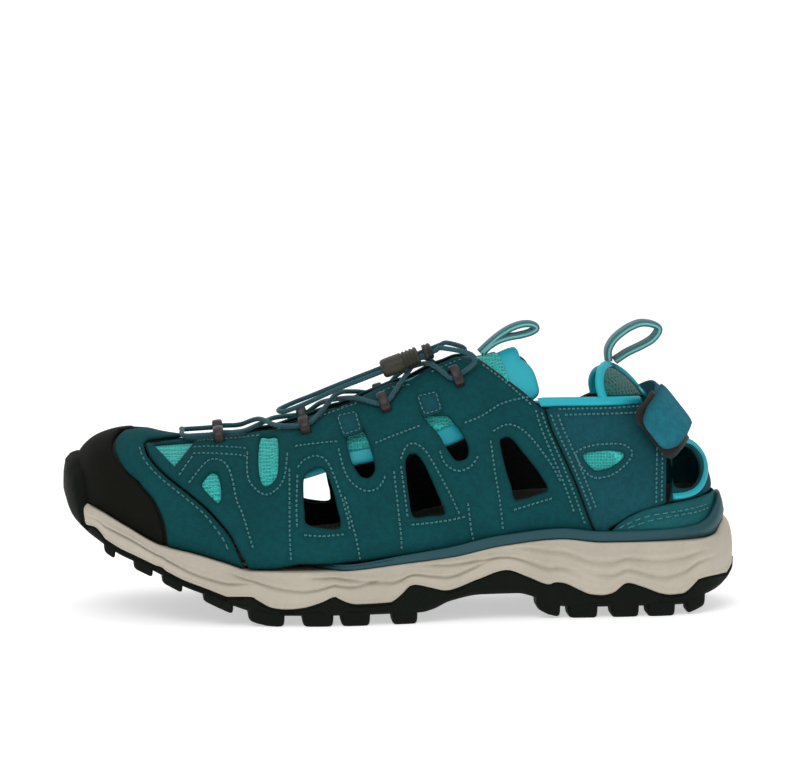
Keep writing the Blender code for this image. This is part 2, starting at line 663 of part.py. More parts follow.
W8 = arr((580, 455), (590, 451), (605, 450), (617, 451), (621, 455), (617, 460), (608, 466), (598, 469), (590, 468))
TRI = arr((156, 448), (196, 445.5), (178, 468))


def scaled(loop, d):
    c = loop.mean(0)
    v = loop - c
    n = np.linalg.norm(v, axis=1, keepdims=True)
    return c + v * (n + d) / n


# ---------------- toe cap and vamp
rear = over_from_sheet(TOE_REAR)
order = np.argsort(rear[:, 1])
rear_x = curve(np.append(np.append([-25 * math.pi / 2], rear[order][:, 1]), [0.0]),
               np.append(np.append([rear[order][0, 0]], rear[order][:, 0]), [rear[0, 0] + .4]))


def toe_grid(name, shift, layer, look, nt=25, nx=9, cut=1.0):
    th = np.linspace(-math.pi / 2, math.pi / 2, nt)
    verts, faces = [], []
    for side in (0, 1):
        for i in range(nx):
            for j in range(nt):
                xr = float(rear_x(-abs(th[j]) * 25)) + shift
                w = 1 - math.cos(math.pi / 2 * i / (nx - 1))
                x = TOE_X + (xr - TOE_X) * w
                if i == 0:
                    p = np.array([TOE_X, float(last_c(TOE_X)), float(foot_z(TOE_X))])
                    n = np.array([-1.0, 0, 0])
                else:
                    a, b = over(np.array([[x, th[j] * 25]]))
                    p, n = a[0], b[0]
                    if x < TOE_X + 2.5:
                        n = n + np.array([-1.0, 0, 0]) * 0.2
                        n /= np.linalg.norm(n)
                if abs(abs(th[j]) - math.pi / 2) < 1e-6 or i == 0:
                    n = n * np.array([1, 1, 0])
                    n /= max(np.linalg.norm(n), 1e-9)
                p = p + n * layer[side]
                if abs(abs(th[j]) - math.pi / 2) < 1e-6 or i == 0:
                    p[2] = float(foot_z(p[0]))
                verts.append(p)
    k = nx * nt
    for i in range(nx - 1):
        for j in range(nt - 1):
            q = (i * nt + j, i * nt + j + 1, (i + 1) * nt + j + 1, (i + 1) * nt + j)
            faces.append(q)
            faces.append(tuple(v + k for v in q[::-1]))
    for j in range(nt - 1):
        a, b = (nx - 1) * nt + j, (nx - 1) * nt + j + 1
        faces.append((a, b, b + k, a + k))
    for i in range(nx - 1):
        for j in (0, nt - 1):
            a, b = i * nt + j, (i + 1) * nt + j
            q = (a, b, b + k, a + k)
            faces.append(q if j else q[::-1])
    return solid(name, verts, faces, look, True)


toe_grid("toe_cap", -0.2, UPPER, RUBBER)
toe_grid("toe_puff", -1.5, LINING, BLACK, nt=25, nx=7)

vamp_half = np.vstack([
    [[rear[0, 0] + 1.2, 0.0]],
    over_from_sheet(TOE_REAR[1:] + np.array([2.6, 0.3])),
])
bot = float(vamp_half[-1, 0])
foot_a = np.array([[x, -25 * math.pi / 2] for x in np.linspace(bot + .3, -65.5, 7)])
vamp_half = np.vstack([vamp_half, foot_a, over_from_sheet(SEAM[::-1]), over_from_sheet(arr((150, 443), (168, 441), (186, 438.5))),
                       [[-87.4, 0.0]]])
panel("vamp", both_sides(vamp_half, 1), [], over, UPPER, SUEDE, cell=5.2)
lining_half = vamp_half.copy()
panel("vamp_lining", both_sides(np.vstack([[[-106.6, 0.0]], lining_half[1:-1] + np.array([0.0, 0.0]), [[-87.8, 0.0]]]), 1), [],
      over, LINING, BLACK, cell=6.0)

# ---------------- sides
front_x, seam_x = -63.6, 77.0
chassis = np.vstack([foot_line(seam_x, front_x), (SEAM + np.array([1.6, -1.2]))[::-1], arr((152, 446.2), (170, 444.3), (188, 442.2)),
                     EYESTAY, BACK_EDGE, QSEAM])
quarter = np.vstack([QSEAM[::-1] + np.array([1.5, 0]), arr((552, 405.5), (575, 404.5), (600, 404.5), (638, 405), (645, 414), (653, 430),
                     (659, 443), (662, 456), (662, 503), (650, 507), (630, 513), (607, 526)), foot_line(82.5, seam_x + .8, 3)])
sidelining = np.vstack([foot_line(82.5, front_x), (SEAM + np.array([1.6, -1.2]))[::-1], arr((152, 446.2), (170, 444.3), (188, 442.2)),
                        EYESTAY, BACK_EDGE, arr((543, 406), (552, 405.5), (575, 404.5), (600, 404.5), (614, 406), (628, 418),
                        (641, 433), (652, 447), (659, 460), (662, 503), (650, 507), (630, 513), (607, 526))])
# the medial topline dips lower than the lateral one between the instep and the heel
dip = curve([480, 500, 520, 534, 545, 562, 578, 590, 600, 612, 700], [0, 1.5, 7, 15, 17.5, 17.5, 15, 9, 3, 0, 0])


def dipped(loop):
    """Lower the topline part of a side outline; everything below row 434 stays."""
    out = np.array(loop, float)
    top = np.clip((434 - out[:, 1]) / 26, 0, 1)
    out[:, 1] += dip(out[:, 0]) * top * (out[:, 0] > 481)
    return out


MESHED = (TRI, W1, W2, W8)
OPEN = (W3, W4, W5, W6, W7)
for side, lift in (("lateral", lateral), ("medial", medial)):
    fit = dipped if side == "medial" else np.array
    panel("upper_" + side, fit(chassis), [TRI, W1, W2, W3, W4, W5, W6, W7], lift, UPPER, SUEDE)
    panel("quarter_" + side, fit(quarter), [W8], lift, UPPER, SUEDE2)
    # the inner lining is closed behind the two rear windows
    open_here = [w for w in OPEN if side == "lateral" or (w is not W5 and w is not W7)]
    panel("lining_" + side, fit(sidelining), [scaled(w, 2.5) for w in open_here] + [scaled(w, 5.5) for w in MESHED], lift, LINING, BLACK,
          cell=12.5)
    for nm, w in zip(("vamp_mesh_", "toe_vent_mesh_", "instep_mesh_", "quarter_mesh_"), MESHED):
        panel(nm + side, scaled(w, 4.2), [], lift, LINING, MESHC, cell=13)

# ---------------- heel
heel_half = heel_from_sheet(arr((664.5, 501), (664.5, 455), (661, 442), (655, 428), (647.5, 412), (641.5, 400), (620, 399),
                                (601, 397), (596, 388), (594.5, 378), (598, 371)))
z_top = 97.5
heel_half = np.vstack([[[0.0, 49.0]], heel_from_sheet(arr((699, 493.5), (686, 498.5))), heel_half, [[heel_half[-1, 0] * .5, z_top]], [[0.0, z_top]]])
hole = heel_from_sheet(arr((674, 455), (678, 449), (686, 450), (692, 457), (695.5, 465), (695.5, 475), (692, 482), (686, 487),
                           (676, 487), (672, 483), (671, 470)))
panel("heel_sling", both_sides(heel_half, 0), [hole], round_heel, UPPER, SMOOTH, cell=4.2)
al_c = -math.acos(((86 - HEEL_X0) / (126 - HEEL_X0))**(HEEL_N / 2)) * 25
panel("heel_counter", both_sides(np.vstack([[[0.0, float(foot_z(120)) + .3]], [(a, float(foot_z(120)) + .3) for a in np.linspace(0, al_c, 8)[1:]],
                            heel_from_sheet(arr((613, 529), (632, 518.5), (652, 512), (668, 509), (690, 505))), [[0.0, 43.0]]]), 0),
      [], round_heel, COUNTER, ((.5, .5, .5), .6), cell=5)
al_p = -math.acos(((84 - HEEL_X0) / (126 - HEEL_X0))**(HEEL_N / 2)) * 25
patch = np.vstack([[[0.0, float(foot_z(120)) + .3]], [(a, float(foot_z(120)) + .3) for a in np.linspace(0, al_p, 9)[1:]],
                   heel_from_sheet(arr((608, 528.5), (620, 518), (640, 510), (665, 506), (685, 502.5), (698, 498))), [[0.0, 47.5]]])
panel("heel_patch", both_sides(patch, 0), [], round_heel, OVERLAY, SUEDE, cell=4.5)

# collar rolls along the top of each quarter
roll_line = arr((541, 400.8), (552, 400.4), (565, 400), (580, 399.8), (600, 399.8), (618, 400.2), (634, 401))
for side, lift in (("lateral", lateral), ("medial", medial)):
    shift = dip(roll_line[:, 0]) if side == "medial" else np.zeros(len(roll_line))
    ct = on_last(roll_line + np.stack([np.zeros(len(shift)), shift - 3.6], 1))
    q = ct.copy()
    if side == "medial":
        q[:, 1] = 2 * last_c(q[:, 0]) - q[:, 1]
    n = normals(q)
    keep = q[:-3] + n[:-3] * 1.9
    tube("collar_roll_" + side, keep + np.array([0, 0, 0.9]), 1.5, SMOOTH, sides=8, flat=1.3)

# ---------------- tongue (its own body, hinged at the throat)
T_PIVOT = (-86.0, 0.0, 66.0)
tongue_half = over_from_sheet(arr((205, 462), (235, 472), (270, 480), (300, 474), (335, 464), (362, 459), (400, 452), (440, 446),
                                  (470, 434), (500, 420), (530, 400), (534, 392), (530, 381), (526, 370), (521, 360)))
tongue_half = np.vstack([[[-84.0, 0.0]], [[-83.5, -12.0]], tongue_half, [[47.5, 0.0]]])
panel("tongue", both_sides(tongue_half, 1), [], over, TONGUE, SMOOTH, cell=6.5, pivot=T_PIVOT)
face_half = over_from_sheet(arr((215, 455), (240, 462), (270, 466), (300, 460), (335, 450), (362, 446), (400, 438), (440, 428),
                                (470, 412), (495, 396), (508, 384), (505, 372)))
face_half = np.vstack([[[-80.0, 0.0]], [[-79.5, -12.0]], face_half, [[38.0, 0.0]]])
panel("tongue_mesh", both_sides(face_half, 1), [], over, TONGUE_FACE, MESHC, cell=6.5, pivot=T_PIVOT)


def sheet_plane(pts, y):
    x, _, z = sight(pts[:, 0], pts[:, 1], y)
    return np.stack([x, z], 1)


LOOP_T = arr((476, 356), (486, 345), (496, 337), (506, 331), (515, 327.5), (525, 325.5), (533, 327), (538, 330), (537.5, 334.5),
             (532, 338.5), (521, 341.5), (508, 343), (498, 346.5), (489, 351.5), (482, 356))
LOOP_T_HOLE = arr((500, 341.5), (508, 335.5), (518, 330.8), (528, 329.4), (532, 331.5), (528, 335.2), (519, 338), (508, 339.6))
tl = sheet_plane(LOOP_T, 0.0) + np.array([0, 2.2])
tlh = sheet_plane(LOOP_T_HOLE, 0.0) + np.array([0, 2.2])
TL_PIVOT = (float(tl[0, 0]) + 1.0, -2.8, float(tl[0, 1]) + .6)
prism("tongue_pull_loop", tl, [tlh], (0, -2.8, 0), (1, 0, 0), (0, 0, 1), (0, 1, 0), -4.2, 4.2, WEB, pivot=TL_PIVOT)

LOOP_H = arr((604, 364.5), (604, 355), (608, 346), (615, 337), (625, 329), (638, 324), (648, 324.5), (656, 326.5), (659.5, 332),
             (658, 339), (651, 346), (640, 352), (625, 359.5), (614, 366))
LOOP_H_HOLE = arr((609, 357), (612, 348.5), (618, 340.5), (627, 333), (638, 328), (648, 328.5), (654, 331), (654, 335.5), (648.5, 341.5),
                  (638, 347), (624, 354), (613, 360))
hl = sheet_plane(LOOP_H, 0.0) + np.array([0.8, 1.5])
hlh = sheet_plane(LOOP_H_HOLE, 0.0) + np.array([0.8, 1.5])
HL_PIVOT = (float(hl[0, 0]) + 1.5, 0.0, float(hl[0, 1]) + .8)
prism("heel_pull_loop", hl, [hlh], (0, 0, 0), (1, 0, 0), (0, 0, 1), (0, 1, 0), -6.0, 6.0, WEB, pivot=HL_PIVOT)

# ---------------- heel strap: the band leans 38 degrees
W_DIR = np.array([.62, 0, -.785])
half = [(99.8, -30.4, 71.6), (102.2, -30.0, 74.0), (104.8, -27.6, 76.5), (107.6, -22.4, 79.2), (109.9, -14.5, 81.5),
        (111.1, -7.0, 82.6), (111.4, 0.0, 82.9)]
ring = np.array(half + [(x, -y, z) for x, y, z in half[-2::-1]])
ring_s = spline(ring, 3)
band("heel_strap", ring_s[2:], W_DIR, 22.0, (0.0, 1.4), SUEDE, out=(95, 0, 65))
lat = spline(np.array(half[:5]), 4)
band("strap_loop_patch", lat[3:13], W_DIR, 18.0, (1.75, 2.25), BLACK, out=(95, 0, 65))
lat_out = np.cross(W_DIR, lat[-1] - lat[-2])
lat_out /= np.linalg.norm(lat_out)
TAB_PIVOT = lat[-1] + lat_out * 3.0
band("strap_hook_patch", lat[2:11], W_DIR, 17.0, (2.6, 3.1), BLACK, out=(95, 0, 65), pivot=TAB_PIVOT)
wid = np.array([17, 20, 22] + [23] * (len(lat) - 3), float)
band("heel_strap_tab", lat, W_DIR, wid, (3.45, 4.9), SUEDE2, out=(95, 0, 65), pivot=TAB_PIVOT)

# ---------------- lacing
KEEP = [((222, 439), 0.0), ((309, 428), 10.0), ((386, 404), 20.0), ((456, 377), 26.0)]
stations = {}
for side in ("lateral", "medial"):
    for i, ((c, r), tilt) in enumerate(KEEP):
        p = on_last([(c, r + 4.5)])[0]
        ta = math.radians(tilt)
        along = np.array([math.cos(ta), 0, math.sin(ta)])
        if side == "medial":
            p = np.array([p[0], 2 * float(last_c(p[0])) - p[1], p[2]])
        n = normals(np.array([p]))[0]
        t = along - n * (along @ n)
        t /= np.linalg.norm(t)
        b = np.cross(n, t)
        base = p + n * (UPPER[1] + .35)
        prof, holep = [], []
        for k in range(9):
            a = math.pi * k / 8
            prof.append((4.1 * math.cos(a), 1.9 + 2.5 * math.sin(a)))
            holep.append((2.95 * math.cos(a), 1.9 + 1.6 * math.sin(a)))
        prof = np.array([(4.1, 0.0)] + prof + [(-4.1, 0.0)])
        holep = np.array([(2.95, 0.5)] + holep + [(-2.95, .5)])
        nm = "keeper_%s_%d" % (side, i + 1)
        prism(nm, prof, [holep], base, b, n, t, -1.9, 1.9, KEEPER)
        stations[(side, i)] = (base + n * 2.0, t, n)
        if i in (2, 3):
            cc, rr = ((350, 422), (428, 402))[i - 2]
            tape = arr((cc - 11, rr - 7), (cc + 9, rr - 12), (cc + 14, rr + 6), (cc - 5, rr + 12))
            panel("keeper_anchor_%s_%d" % (side, i - 1), tape, [], lateral if side == "lateral" else medial, OVERLAY, SUEDE2)


def ridge_pt(x, lift, th=0.0):
    a, n = over(np.array([[x, th * 25.0]]))
    return a[0] + n[0] * lift


def through(side, i, sense=1):
    p, t, n = stations[(side, i)]
    return [p - t * 2.6 * sense, p, p + t * 2.6 * sense]


AX = np.array([math.cos(math.radians(21)), 0, math.sin(math.radians(21))])
LOCK_C = np.array([0.2, -14.5, 102.6])
LB = np.cross(AX, (0, 0, 1))
LB /= np.linalg.norm(LB)
LB = LB * math.cos(math.radians(20)) + np.cross(AX, LB) * math.sin(math.radians(20))
LB = -LB if LB[1] > 0 else LB
HOLE_S = 1.65
s1, s2 = LB * HOLE_S, -LB * HOLE_S
LEN = 18.5
low, high = 3.0, 5.2
mids = [0.5 * (stations[("lateral", i)][0][0] + stations[("lateral", i + 1)][0][0]) for i in range(3)]
mids[2] += 3.0


def cross(i, first, lift):
    """Strand from one side's keeper i over the ridge to the other side's keeper i + 1."""
    sg = -1 if first == "lateral" else 1
    a, b = stations[(first, i)][0][0] + 2.6, stations[(first, i + 1)][0][0] - 2.6
    w = 0.5
    return [ridge_pt(a * w + mids[i] * (1 - w), 4.7, sg * .25), ridge_pt(mids[i], lift, 0.0),
            ridge_pt(b * w + mids[i] * (1 - w), 4.7, -sg * .25)]


run_a = through("lateral", 0) + cross(0, "lateral", low) + through("medial", 1) + cross(1, "medial", low)
run_a += through("lateral", 2) + cross(2, "lateral", high) + through("medial", 3)
run_b = through("medial", 0) + cross(0, "medial", high) + through("lateral", 1) + cross(1, "lateral", high)
run_b += through("medial", 2) + cross(2, "medial", low) + through("lateral", 3)
rear_l = LOCK_C + AX * (LEN / 2)
front_l = LOCK_C - AX * (LEN / 2)
back_m = [stations[("medial", 3)][0] + np.array([6.0, -3.0, 5.5]), stations[("medial", 3)][0] + np.array([5.0, -11.0, 9.0]),
          rear_l + s2 + AX * 10.5 + np.array([0, 3.0, -.6]), rear_l + s2 + AX * 7.5, rear_l + s2 + AX * 4.5]
back_l = [stations[("lateral", 3)][0] + np.array([7.5, 1.5, 5.0]), stations[("lateral", 3)][0] + np.array([5.5, 1.6, 8.6]),
          rear_l + s1 + AX * 7.5, rear_l + s1 + AX * 4.5]
straight2 = [LOCK_C + s2 + AX * (LEN / 2 - k * 9.25) for k in range(5)]
straight1 = [LOCK_C + s1 + AX * (LEN / 2 - k * 9.25) for k in range(5)]
bight = [ridge_pt(-34, 8.2, .0), ridge_pt(-43, 7.6, .03), ridge_pt(-47.5, 7.3, -.06), ridge_pt(-45, 7.4, -.17),
         ridge_pt(-36, 8.2, -.17)]
front_bar = [ridge_pt(-88.5, 4.4, -.25), ridge_pt(-89.5, 4.4, 0), ridge_pt(-88.5, 4.4, .25)]
way = run_a + back_m + straight2 + bight + straight1[::-1] + back_l[::-1] + run_b[::-1] + front_bar[::-1]
tube("lace", spline(np.array(way), 2, closed=True), LACE_R, LACE, sides=6, closed=True)

ell = [(4.6 * math.cos(a), 3.55 * math.sin(a)) for a in np.linspace(0, 2 * math.pi, 21)[:-1]]
ring1 = [(HOLE_S + 1.42 * math.cos(a), 1.42 * math.sin(a)) for a in np.linspace(0, 2 * math.pi, 11)[:-1]]
ring2 = [(-x, y) for x, y in ring1]
LN = np.cross(AX, LB)
prism("cord_lock_barrel", ell, [ring1, ring2], LOCK_C, LB, LN, AX, -LEN / 2, LEN / 2 - 2.4, LOCK, pivot=tuple(LOCK_C))
cap = [(4.1 * math.cos(a), 3.1 * math.sin(a)) for a in np.linspace(0, 2 * math.pi, 17)[:-1]]
prism("cord_lock_button", cap, [ring1, ring2], LOCK_C, LB, LN, AX, LEN / 2 - .2, LEN / 2 + 3.4, BLACK,
      pivot=tuple(LOCK_C + AX * LEN / 2))
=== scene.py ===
"""Looks of the strappy sport sandal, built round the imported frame. Blender 4.5.

Shapes are worked in millimetres on the same last as the frame and written in metres.
"""
import math
import bpy
import bmesh
import numpy as np
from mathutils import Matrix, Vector
from mathutils.geometry import delaunay_2d_cdt


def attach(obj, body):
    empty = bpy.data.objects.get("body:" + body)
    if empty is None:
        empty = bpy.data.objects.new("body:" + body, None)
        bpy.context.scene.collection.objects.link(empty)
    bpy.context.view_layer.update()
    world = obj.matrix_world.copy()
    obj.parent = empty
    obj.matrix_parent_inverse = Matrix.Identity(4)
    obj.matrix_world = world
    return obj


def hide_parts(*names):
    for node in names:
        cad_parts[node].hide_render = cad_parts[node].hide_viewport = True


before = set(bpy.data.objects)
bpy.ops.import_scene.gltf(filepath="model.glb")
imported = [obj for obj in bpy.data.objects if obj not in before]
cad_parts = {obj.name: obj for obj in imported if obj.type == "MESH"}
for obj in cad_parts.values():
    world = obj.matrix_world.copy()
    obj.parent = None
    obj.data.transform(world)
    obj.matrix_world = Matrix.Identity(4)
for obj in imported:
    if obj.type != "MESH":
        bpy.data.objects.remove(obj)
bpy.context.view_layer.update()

FINE = 1.0        # coarser meshes while trying things

MM = 0.001
SQ = 0.41                      # one square of the side elevation, mm
TURN = math.radians(-4.0)
RISE = math.radians(6.5)
BASE_ROW, MID_COL = 606.2, 400.0
LUG = 4.1
OUT_WALL = 2.8
LINING = (0.1, 0.7)
UPPER = (1.35, 2.4)
OVERLAY = (2.95, 3.75)
TONGUE = (-4.1, -2.8)
TONGUE_FACE = (-1.9, -1.1)
LACE_R = 0.95
FRAME_WALL = (4.25, 5.5)
HEEL_X0 = 60.0
TOE_X = -131.0
HEEL_N = 4.0


# ---------------------------------------------------------------- curves
def curve(xs, ys):
    xs = np.array(xs, float)
    ys = np.array(ys, float)
    h = np.diff(xs)
    d = np.diff(ys) / h
    m = np.zeros(len(xs))
    for i in range(1, len(xs) - 1):
        if d[i - 1] * d[i] > 0:
            w1 = 2 * h[i] + h[i - 1]
            w2 = h[i] + 2 * h[i - 1]
            m[i] = (w1 + w2) / (w1 / d[i - 1] + w2 / d[i])
    m[0], m[-1] = d[0], d[-1]

    def f(x):
        x = np.clip(x, xs[0], xs[-1])
        i = np.clip(np.searchsorted(xs, x) - 1, 0, len(xs) - 2)
        t = (x - xs[i]) / h[i]
        return ((2 * t**3 - 3 * t**2 + 1) * ys[i] + (t**3 - 2 * t**2 + t) * h[i] * m[i]
                + (-2 * t**3 + 3 * t**2) * ys[i + 1] + (t**3 - t**2) * h[i] * m[i + 1])
    return f


# sole plan: centreline and half width
SOLE_X = [-138, -136, -133, -130, -120, -105, -85, -60, -40, -20, 0, 20, 40, 60, 80, 100, 115, 125, 132, 136, 138]
SOLE_C = [8, 7.6, 7, 6, 4.5, 2.5, .5, -1.5, -3.5, -5.5, -6.5, -6, -4.5, -2.5, -1, 0, 0, 0, 0, 0, 0]
SOLE_P = [0, 12, 19.5, 25, 34, 41, 46, 48.8, 48.6, 45.8, 41.3, 37.6, 35.6, 35.8, 36.5, 36, 32.8, 27, 18.5, 10.5, 0]
sole_c = curve(SOLE_X, SOLE_C)
sole_p2 = curve(SOLE_X, np.array(SOLE_P, float)**2)

# sole heights
lug_z = curve([-138, -136, -134, -131, -128, -124, -120, -115, -110, -103.7, -96, -90, -84, -77, -70, -64, -58, -53, 5, 10, 17,
               30, 45, 52, 58, 64, 70, 112, 118, 122, 128, 132, 135, 137, 138],
              [43, 38, 34.5, 31.5, 29, 26.5, 24, 21.3, 19.3, 16.6, 12.9, 10, 7.8, 5.4, 3.2, 1.6, .5, 0, 0, 1, 4, 6.2, 6.2, 4.5, 1.5,
               .4, 0, 0, 1.5, 3, 4.7, 6.5, 9, 11, 12.5])
edge_z = curve([-138, -135, -130, -122, -116, -105.6, -96, -90, -78, -59, -45, -26, -17, -4, 5.7, 18.5, 43, 61, 66, 82, 92,
                110, 122, 134, 138],
               [45.5, 44.4, 39.4, 36.9, 30.1, 24.6, 23.3, 17.2, 12.9, 12.1, 7.2, 11.9, 8.9, 8.9, 15.4, 12.4, 19.6, 13.8, 14.1, 8.9,
                13.7, 8.6, 13.9, 14.4, 16])
mid_z = curve([-135, -133, -125, -113, -98.6, -85, -73, -63, -44.5, -26, -3, 18, 38.6, 63, 80, 100, 122, 134],
              [47.4, 46.9, 44.4, 38.5, 31.3, 28.2, 24.8, 22, 21.8, 22.1, 24.1, 26.1, 29.9, 32, 30.4, 30.3, 30.1, 30.2])
rim_z = curve([120, 128, 131, 136], [0, 0.8, 4.5, 8.3])
frame_z = curve([-34, -22, 0, 16, 28, 41, 65, 100, 119, 124, 127.5, 131.5],
                [2.4, 2.6, 3.6, 4.2, 4.6, 4.4, 4.5, 4.7, 5.6, 7.4, 11, 17])
bed_z = curve([-131, -124, -113, -98, -85, -70, -45, -20, 0, 25, 45, 70, 110, 126],
              [50.6, 48.5, 42.6, 35.5, 32.2, 28.3, 26.6, 29, 32.5, 36.5, 39, 40, 40, 41.5])


def ledge(x):
    return np.clip((x + 54.0) / 10.0, 0, 1)


def foot_z(x):
    return mid_z(x) + 0.7 + 2.2 * ledge(x)


# last: centreline, half width, ridge height, section power, leaning heel line
LAST_X = [-131, -128, -124, -118, -110, -100, -85, -60, -40, -20, 0, 20, 40, 60, 140]
last_c = curve(LAST_X, [7, 6, 5, 4, 3, 2, .5, -1.5, -3.5, -5.5, -6.5, -6, -4.5, -2.5, 0])
last_p2 = curve(LAST_X, np.array([0, 13, 20, 26, 31, 35, 39, 42, 42, 39, 34.5, 31, 29, 28.6, 28.6], float)**2)
RIDGE_X = [-131, -129.5, -126, -120, -113, -108, -102, -96, -88.6, -80, -70, -60, -50, -41, -33, -22, -6, 8, 16, 25, 35, 45,
           52, 60, 70, 80, 92, 130]
RIDGE_Z = [47.1, 61.5, 66.5, 70, 71.8, 71.9, 71.2, 70, 69.3, 69.5, 70.8, 72.5, 74.5, 77.3, 80.3, 84.5, 90.6, 97.2, 100.6,
           103.3, 105, 107, 110, 118, 130, 140, 148, 150]
ridge_h2 = curve(RIDGE_X, (np.array(RIDGE_Z) - foot_z(np.array(RIDGE_X)))**2)
power = curve([-131, -100, -60, 0, 40, 70, 130], [2.4, 2.2, 1.9, 1.75, 1.75, 2, 2])
heel_x = curve([30, 49, 55, 60, 64, 69, 75, 80, 86, 93, 97, 100, 110],
               [126, 126, 124.5, 122.5, 120, 114, 108.5, 104, 98, 91, 85.5, 81, 72])


def half_width2(x, z):
    u = np.clip((x - HEEL_X0) / (heel_x(z) - HEEL_X0), 0, 3)
    h = np.sqrt(np.maximum(ridge_h2(x), 1e-4))
    s = np.clip((z - foot_z(x)) / h, 0, 5)
    return last_p2(x) * (1 - u**HEEL_N) * 1.0 * (1 - s**power(x)) if np.all(u < 1) else \
        np.where(u < 1, last_p2(x) * (1 - u**HEEL_N) * (1 - s**power(x)), last_p2(x) * (1 - u**HEEL_N))


def field(x, y, z):
    return (y - last_c(x))**2 - half_width2(x, z)


def normals(p):
    e = 0.25
    x, y, z = p[:, 0], p[:, 1], p[:, 2]
    g = np.stack([field(x + e, y, z) - field(x - e, y, z), field(x, y + e, z) - field(x, y - e, z),
                  field(x, y, z + e) - field(x, y, z - e)], 1)
    return g / np.maximum(np.linalg.norm(g, axis=1, keepdims=True), 1e-9)


CT, ST, CR, SR = math.cos(TURN), math.sin(TURN), math.cos(RISE), math.sin(RISE)


def sight(col, row, y):
    """Point of the elevation's sight line at depth y."""
    s = (col - MID_COL) * SQ
    v = (BASE_ROW - row) * SQ
    x = (s - y * ST) / CT
    t = -x * ST + y * CT
    return x, y, (v - t * SR) / CR


def to_sheet(x, y, z):
    s = x * CT + y * ST
    t = -x * ST + y * CT
    return MID_COL + s / SQ, BASE_ROW - (z * CR + t * SR) / SQ


def on_last(pts):
    """Sheet points -> points on the lateral side of the last (all at once)."""
    pts = np.atleast_2d(np.array(pts, float))
    c, r = pts[:, 0], pts[:, 1]
    ys = np.linspace(-62, 0, 125)
    n = len(pts)
    g = np.empty((n, len(ys)))
    for k, y in enumerate(ys):
        x, yy, z = sight(c, r, y)
        g[:, k] = field(x, np.full(n, y), z)
    neg = g < 0
    first = np.argmax(neg, axis=1)
    hit = neg.any(axis=1) & (first > 0)
    lo = np.where(hit, ys[np.maximum(first - 1, 0)], 0.0)
    hi = np.where(hit, ys[first], 0.0)
    for _ in range(26):
        mid = 0.5 * (lo + hi)
        x, _y, z = sight(c, r, mid)
        inn = field(x, mid, z) < 0
        hi = np.where(inn, mid, hi)
        lo = np.where(inn, lo, mid)
    y = np.where(hit, hi, ys[np.argmin(g, axis=1)])
    x, _y, z = sight(c, r, y)
    return np.stack([x, y, z], 1)


def lateral(pts):
    p = on_last(pts)
    return p, normals(p)


def medial(pts):
    p = on_last(pts)
    q = p.copy()
    q[:, 1] = 2 * last_c(p[:, 0]) - p[:, 1]
    return q, normals(q)


def over(pts):
    """(x, section angle) -> point on the last, across the ridge."""
    x, th = pts[:, 0], pts[:, 1] / 25.0
    p = np.stack([x, last_c(x) + np.sqrt(np.maximum(last_p2(x), 0)) * np.sin(th),
                  foot_z(x) + np.sqrt(np.maximum(ridge_h2(x), 0)) * np.abs(np.cos(th))**(2 / power(x))], 1)
    return p, normals(p)


def over_from_sheet(pts):
    p = on_last(pts)
    w = np.sqrt(np.maximum(last_p2(p[:, 0]), 1e-6))
    th = np.arcsin(np.clip((p[:, 1] - last_c(p[:, 0])) / w, -1, 1))
    return np.stack([p[:, 0], th * 25.0], 1)


def round_heel(pts):
    """(heel angle, z) -> point on the last, round the back of the heel."""
    al, z = pts[:, 0] / 25.0, pts[:, 1]
    x = HEEL_X0 + (heel_x(z) - HEEL_X0) * np.abs(np.cos(al))**(2 / HEEL_N)
    s = np.clip((z - foot_z(x)) / np.sqrt(ridge_h2(x)), 0, 1)
    y = last_c(x) + np.sqrt(last_p2(x)) * np.sin(al) * np.sqrt(1 - s**power(x))
    p = np.stack([x, y, z], 1)
    return p, normals(p)


def heel_from_sheet(pts):
    p = on_last(pts)
    u = np.clip((p[:, 0] - HEEL_X0) / (heel_x(p[:, 2]) - HEEL_X0), 0, 1)
    al = -np.arccos(np.clip(u**(HEEL_N / 2), 0, 1))
    return np.stack([al * 25.0, p[:, 2]], 1)


def both_sides(half, flip=0):
    """Close a half outline with its mirror image."""
    other = half[::-1].copy()
    other[:, flip] *= -1
    keep = [p for p in other if abs(p[flip]) > 1e-3]
    return np.vstack([half, np.array(keep)])



def spline(pts, per, closed=False):
    pts = np.array(pts, float)
    n = len(pts)
    out = []
    for i in range(n if closed else n - 1):
        if closed:
            p0, p1, p2, p3 = pts[i - 1], pts[i], pts[(i + 1) % n], pts[(i + 2) % n]
        else:
            p0, p1, p2, p3 = pts[max(i - 1, 0)], pts[i], pts[i + 1], pts[min(i + 2, n - 1)]
        for j in range(per):
            t = j / per
            out.append(0.5 * (2 * p1 + (p2 - p0) * t + (2 * p0 - 5 * p1 + 4 * p2 - p3) * t**2
                              + (3 * p1 - p0 - 3 * p2 + p3) * t**3))
    if not closed:
        out.append(pts[-1])
    return np.array(out)


def arr(*p):
    return np.array(p, float)



def inside(poly, pts):
    x, y = pts[:, 0], pts[:, 1]
    r = np.zeros(len(pts), bool)
    a = poly
    b = np.roll(poly, -1, axis=0)
    for (x1, y1), (x2, y2) in zip(a, b):
        if y1 == y2:
            continue
        c = ((y1 > y) != (y2 > y)) & (x < (x2 - x1) * (y - y1) / (y2 - y1) + x1)
        r ^= c
    return r


def refine(loop, cell):
    out = []
    n = len(loop)
    for i in range(n):
        a, b = loop[i], loop[(i + 1) % n]
        k = max(1, int(math.ceil(np.linalg.norm(b - a) / cell)))
        for j in range(k):
            out.append(a + (b - a) * j / k)
    return np.array(out)


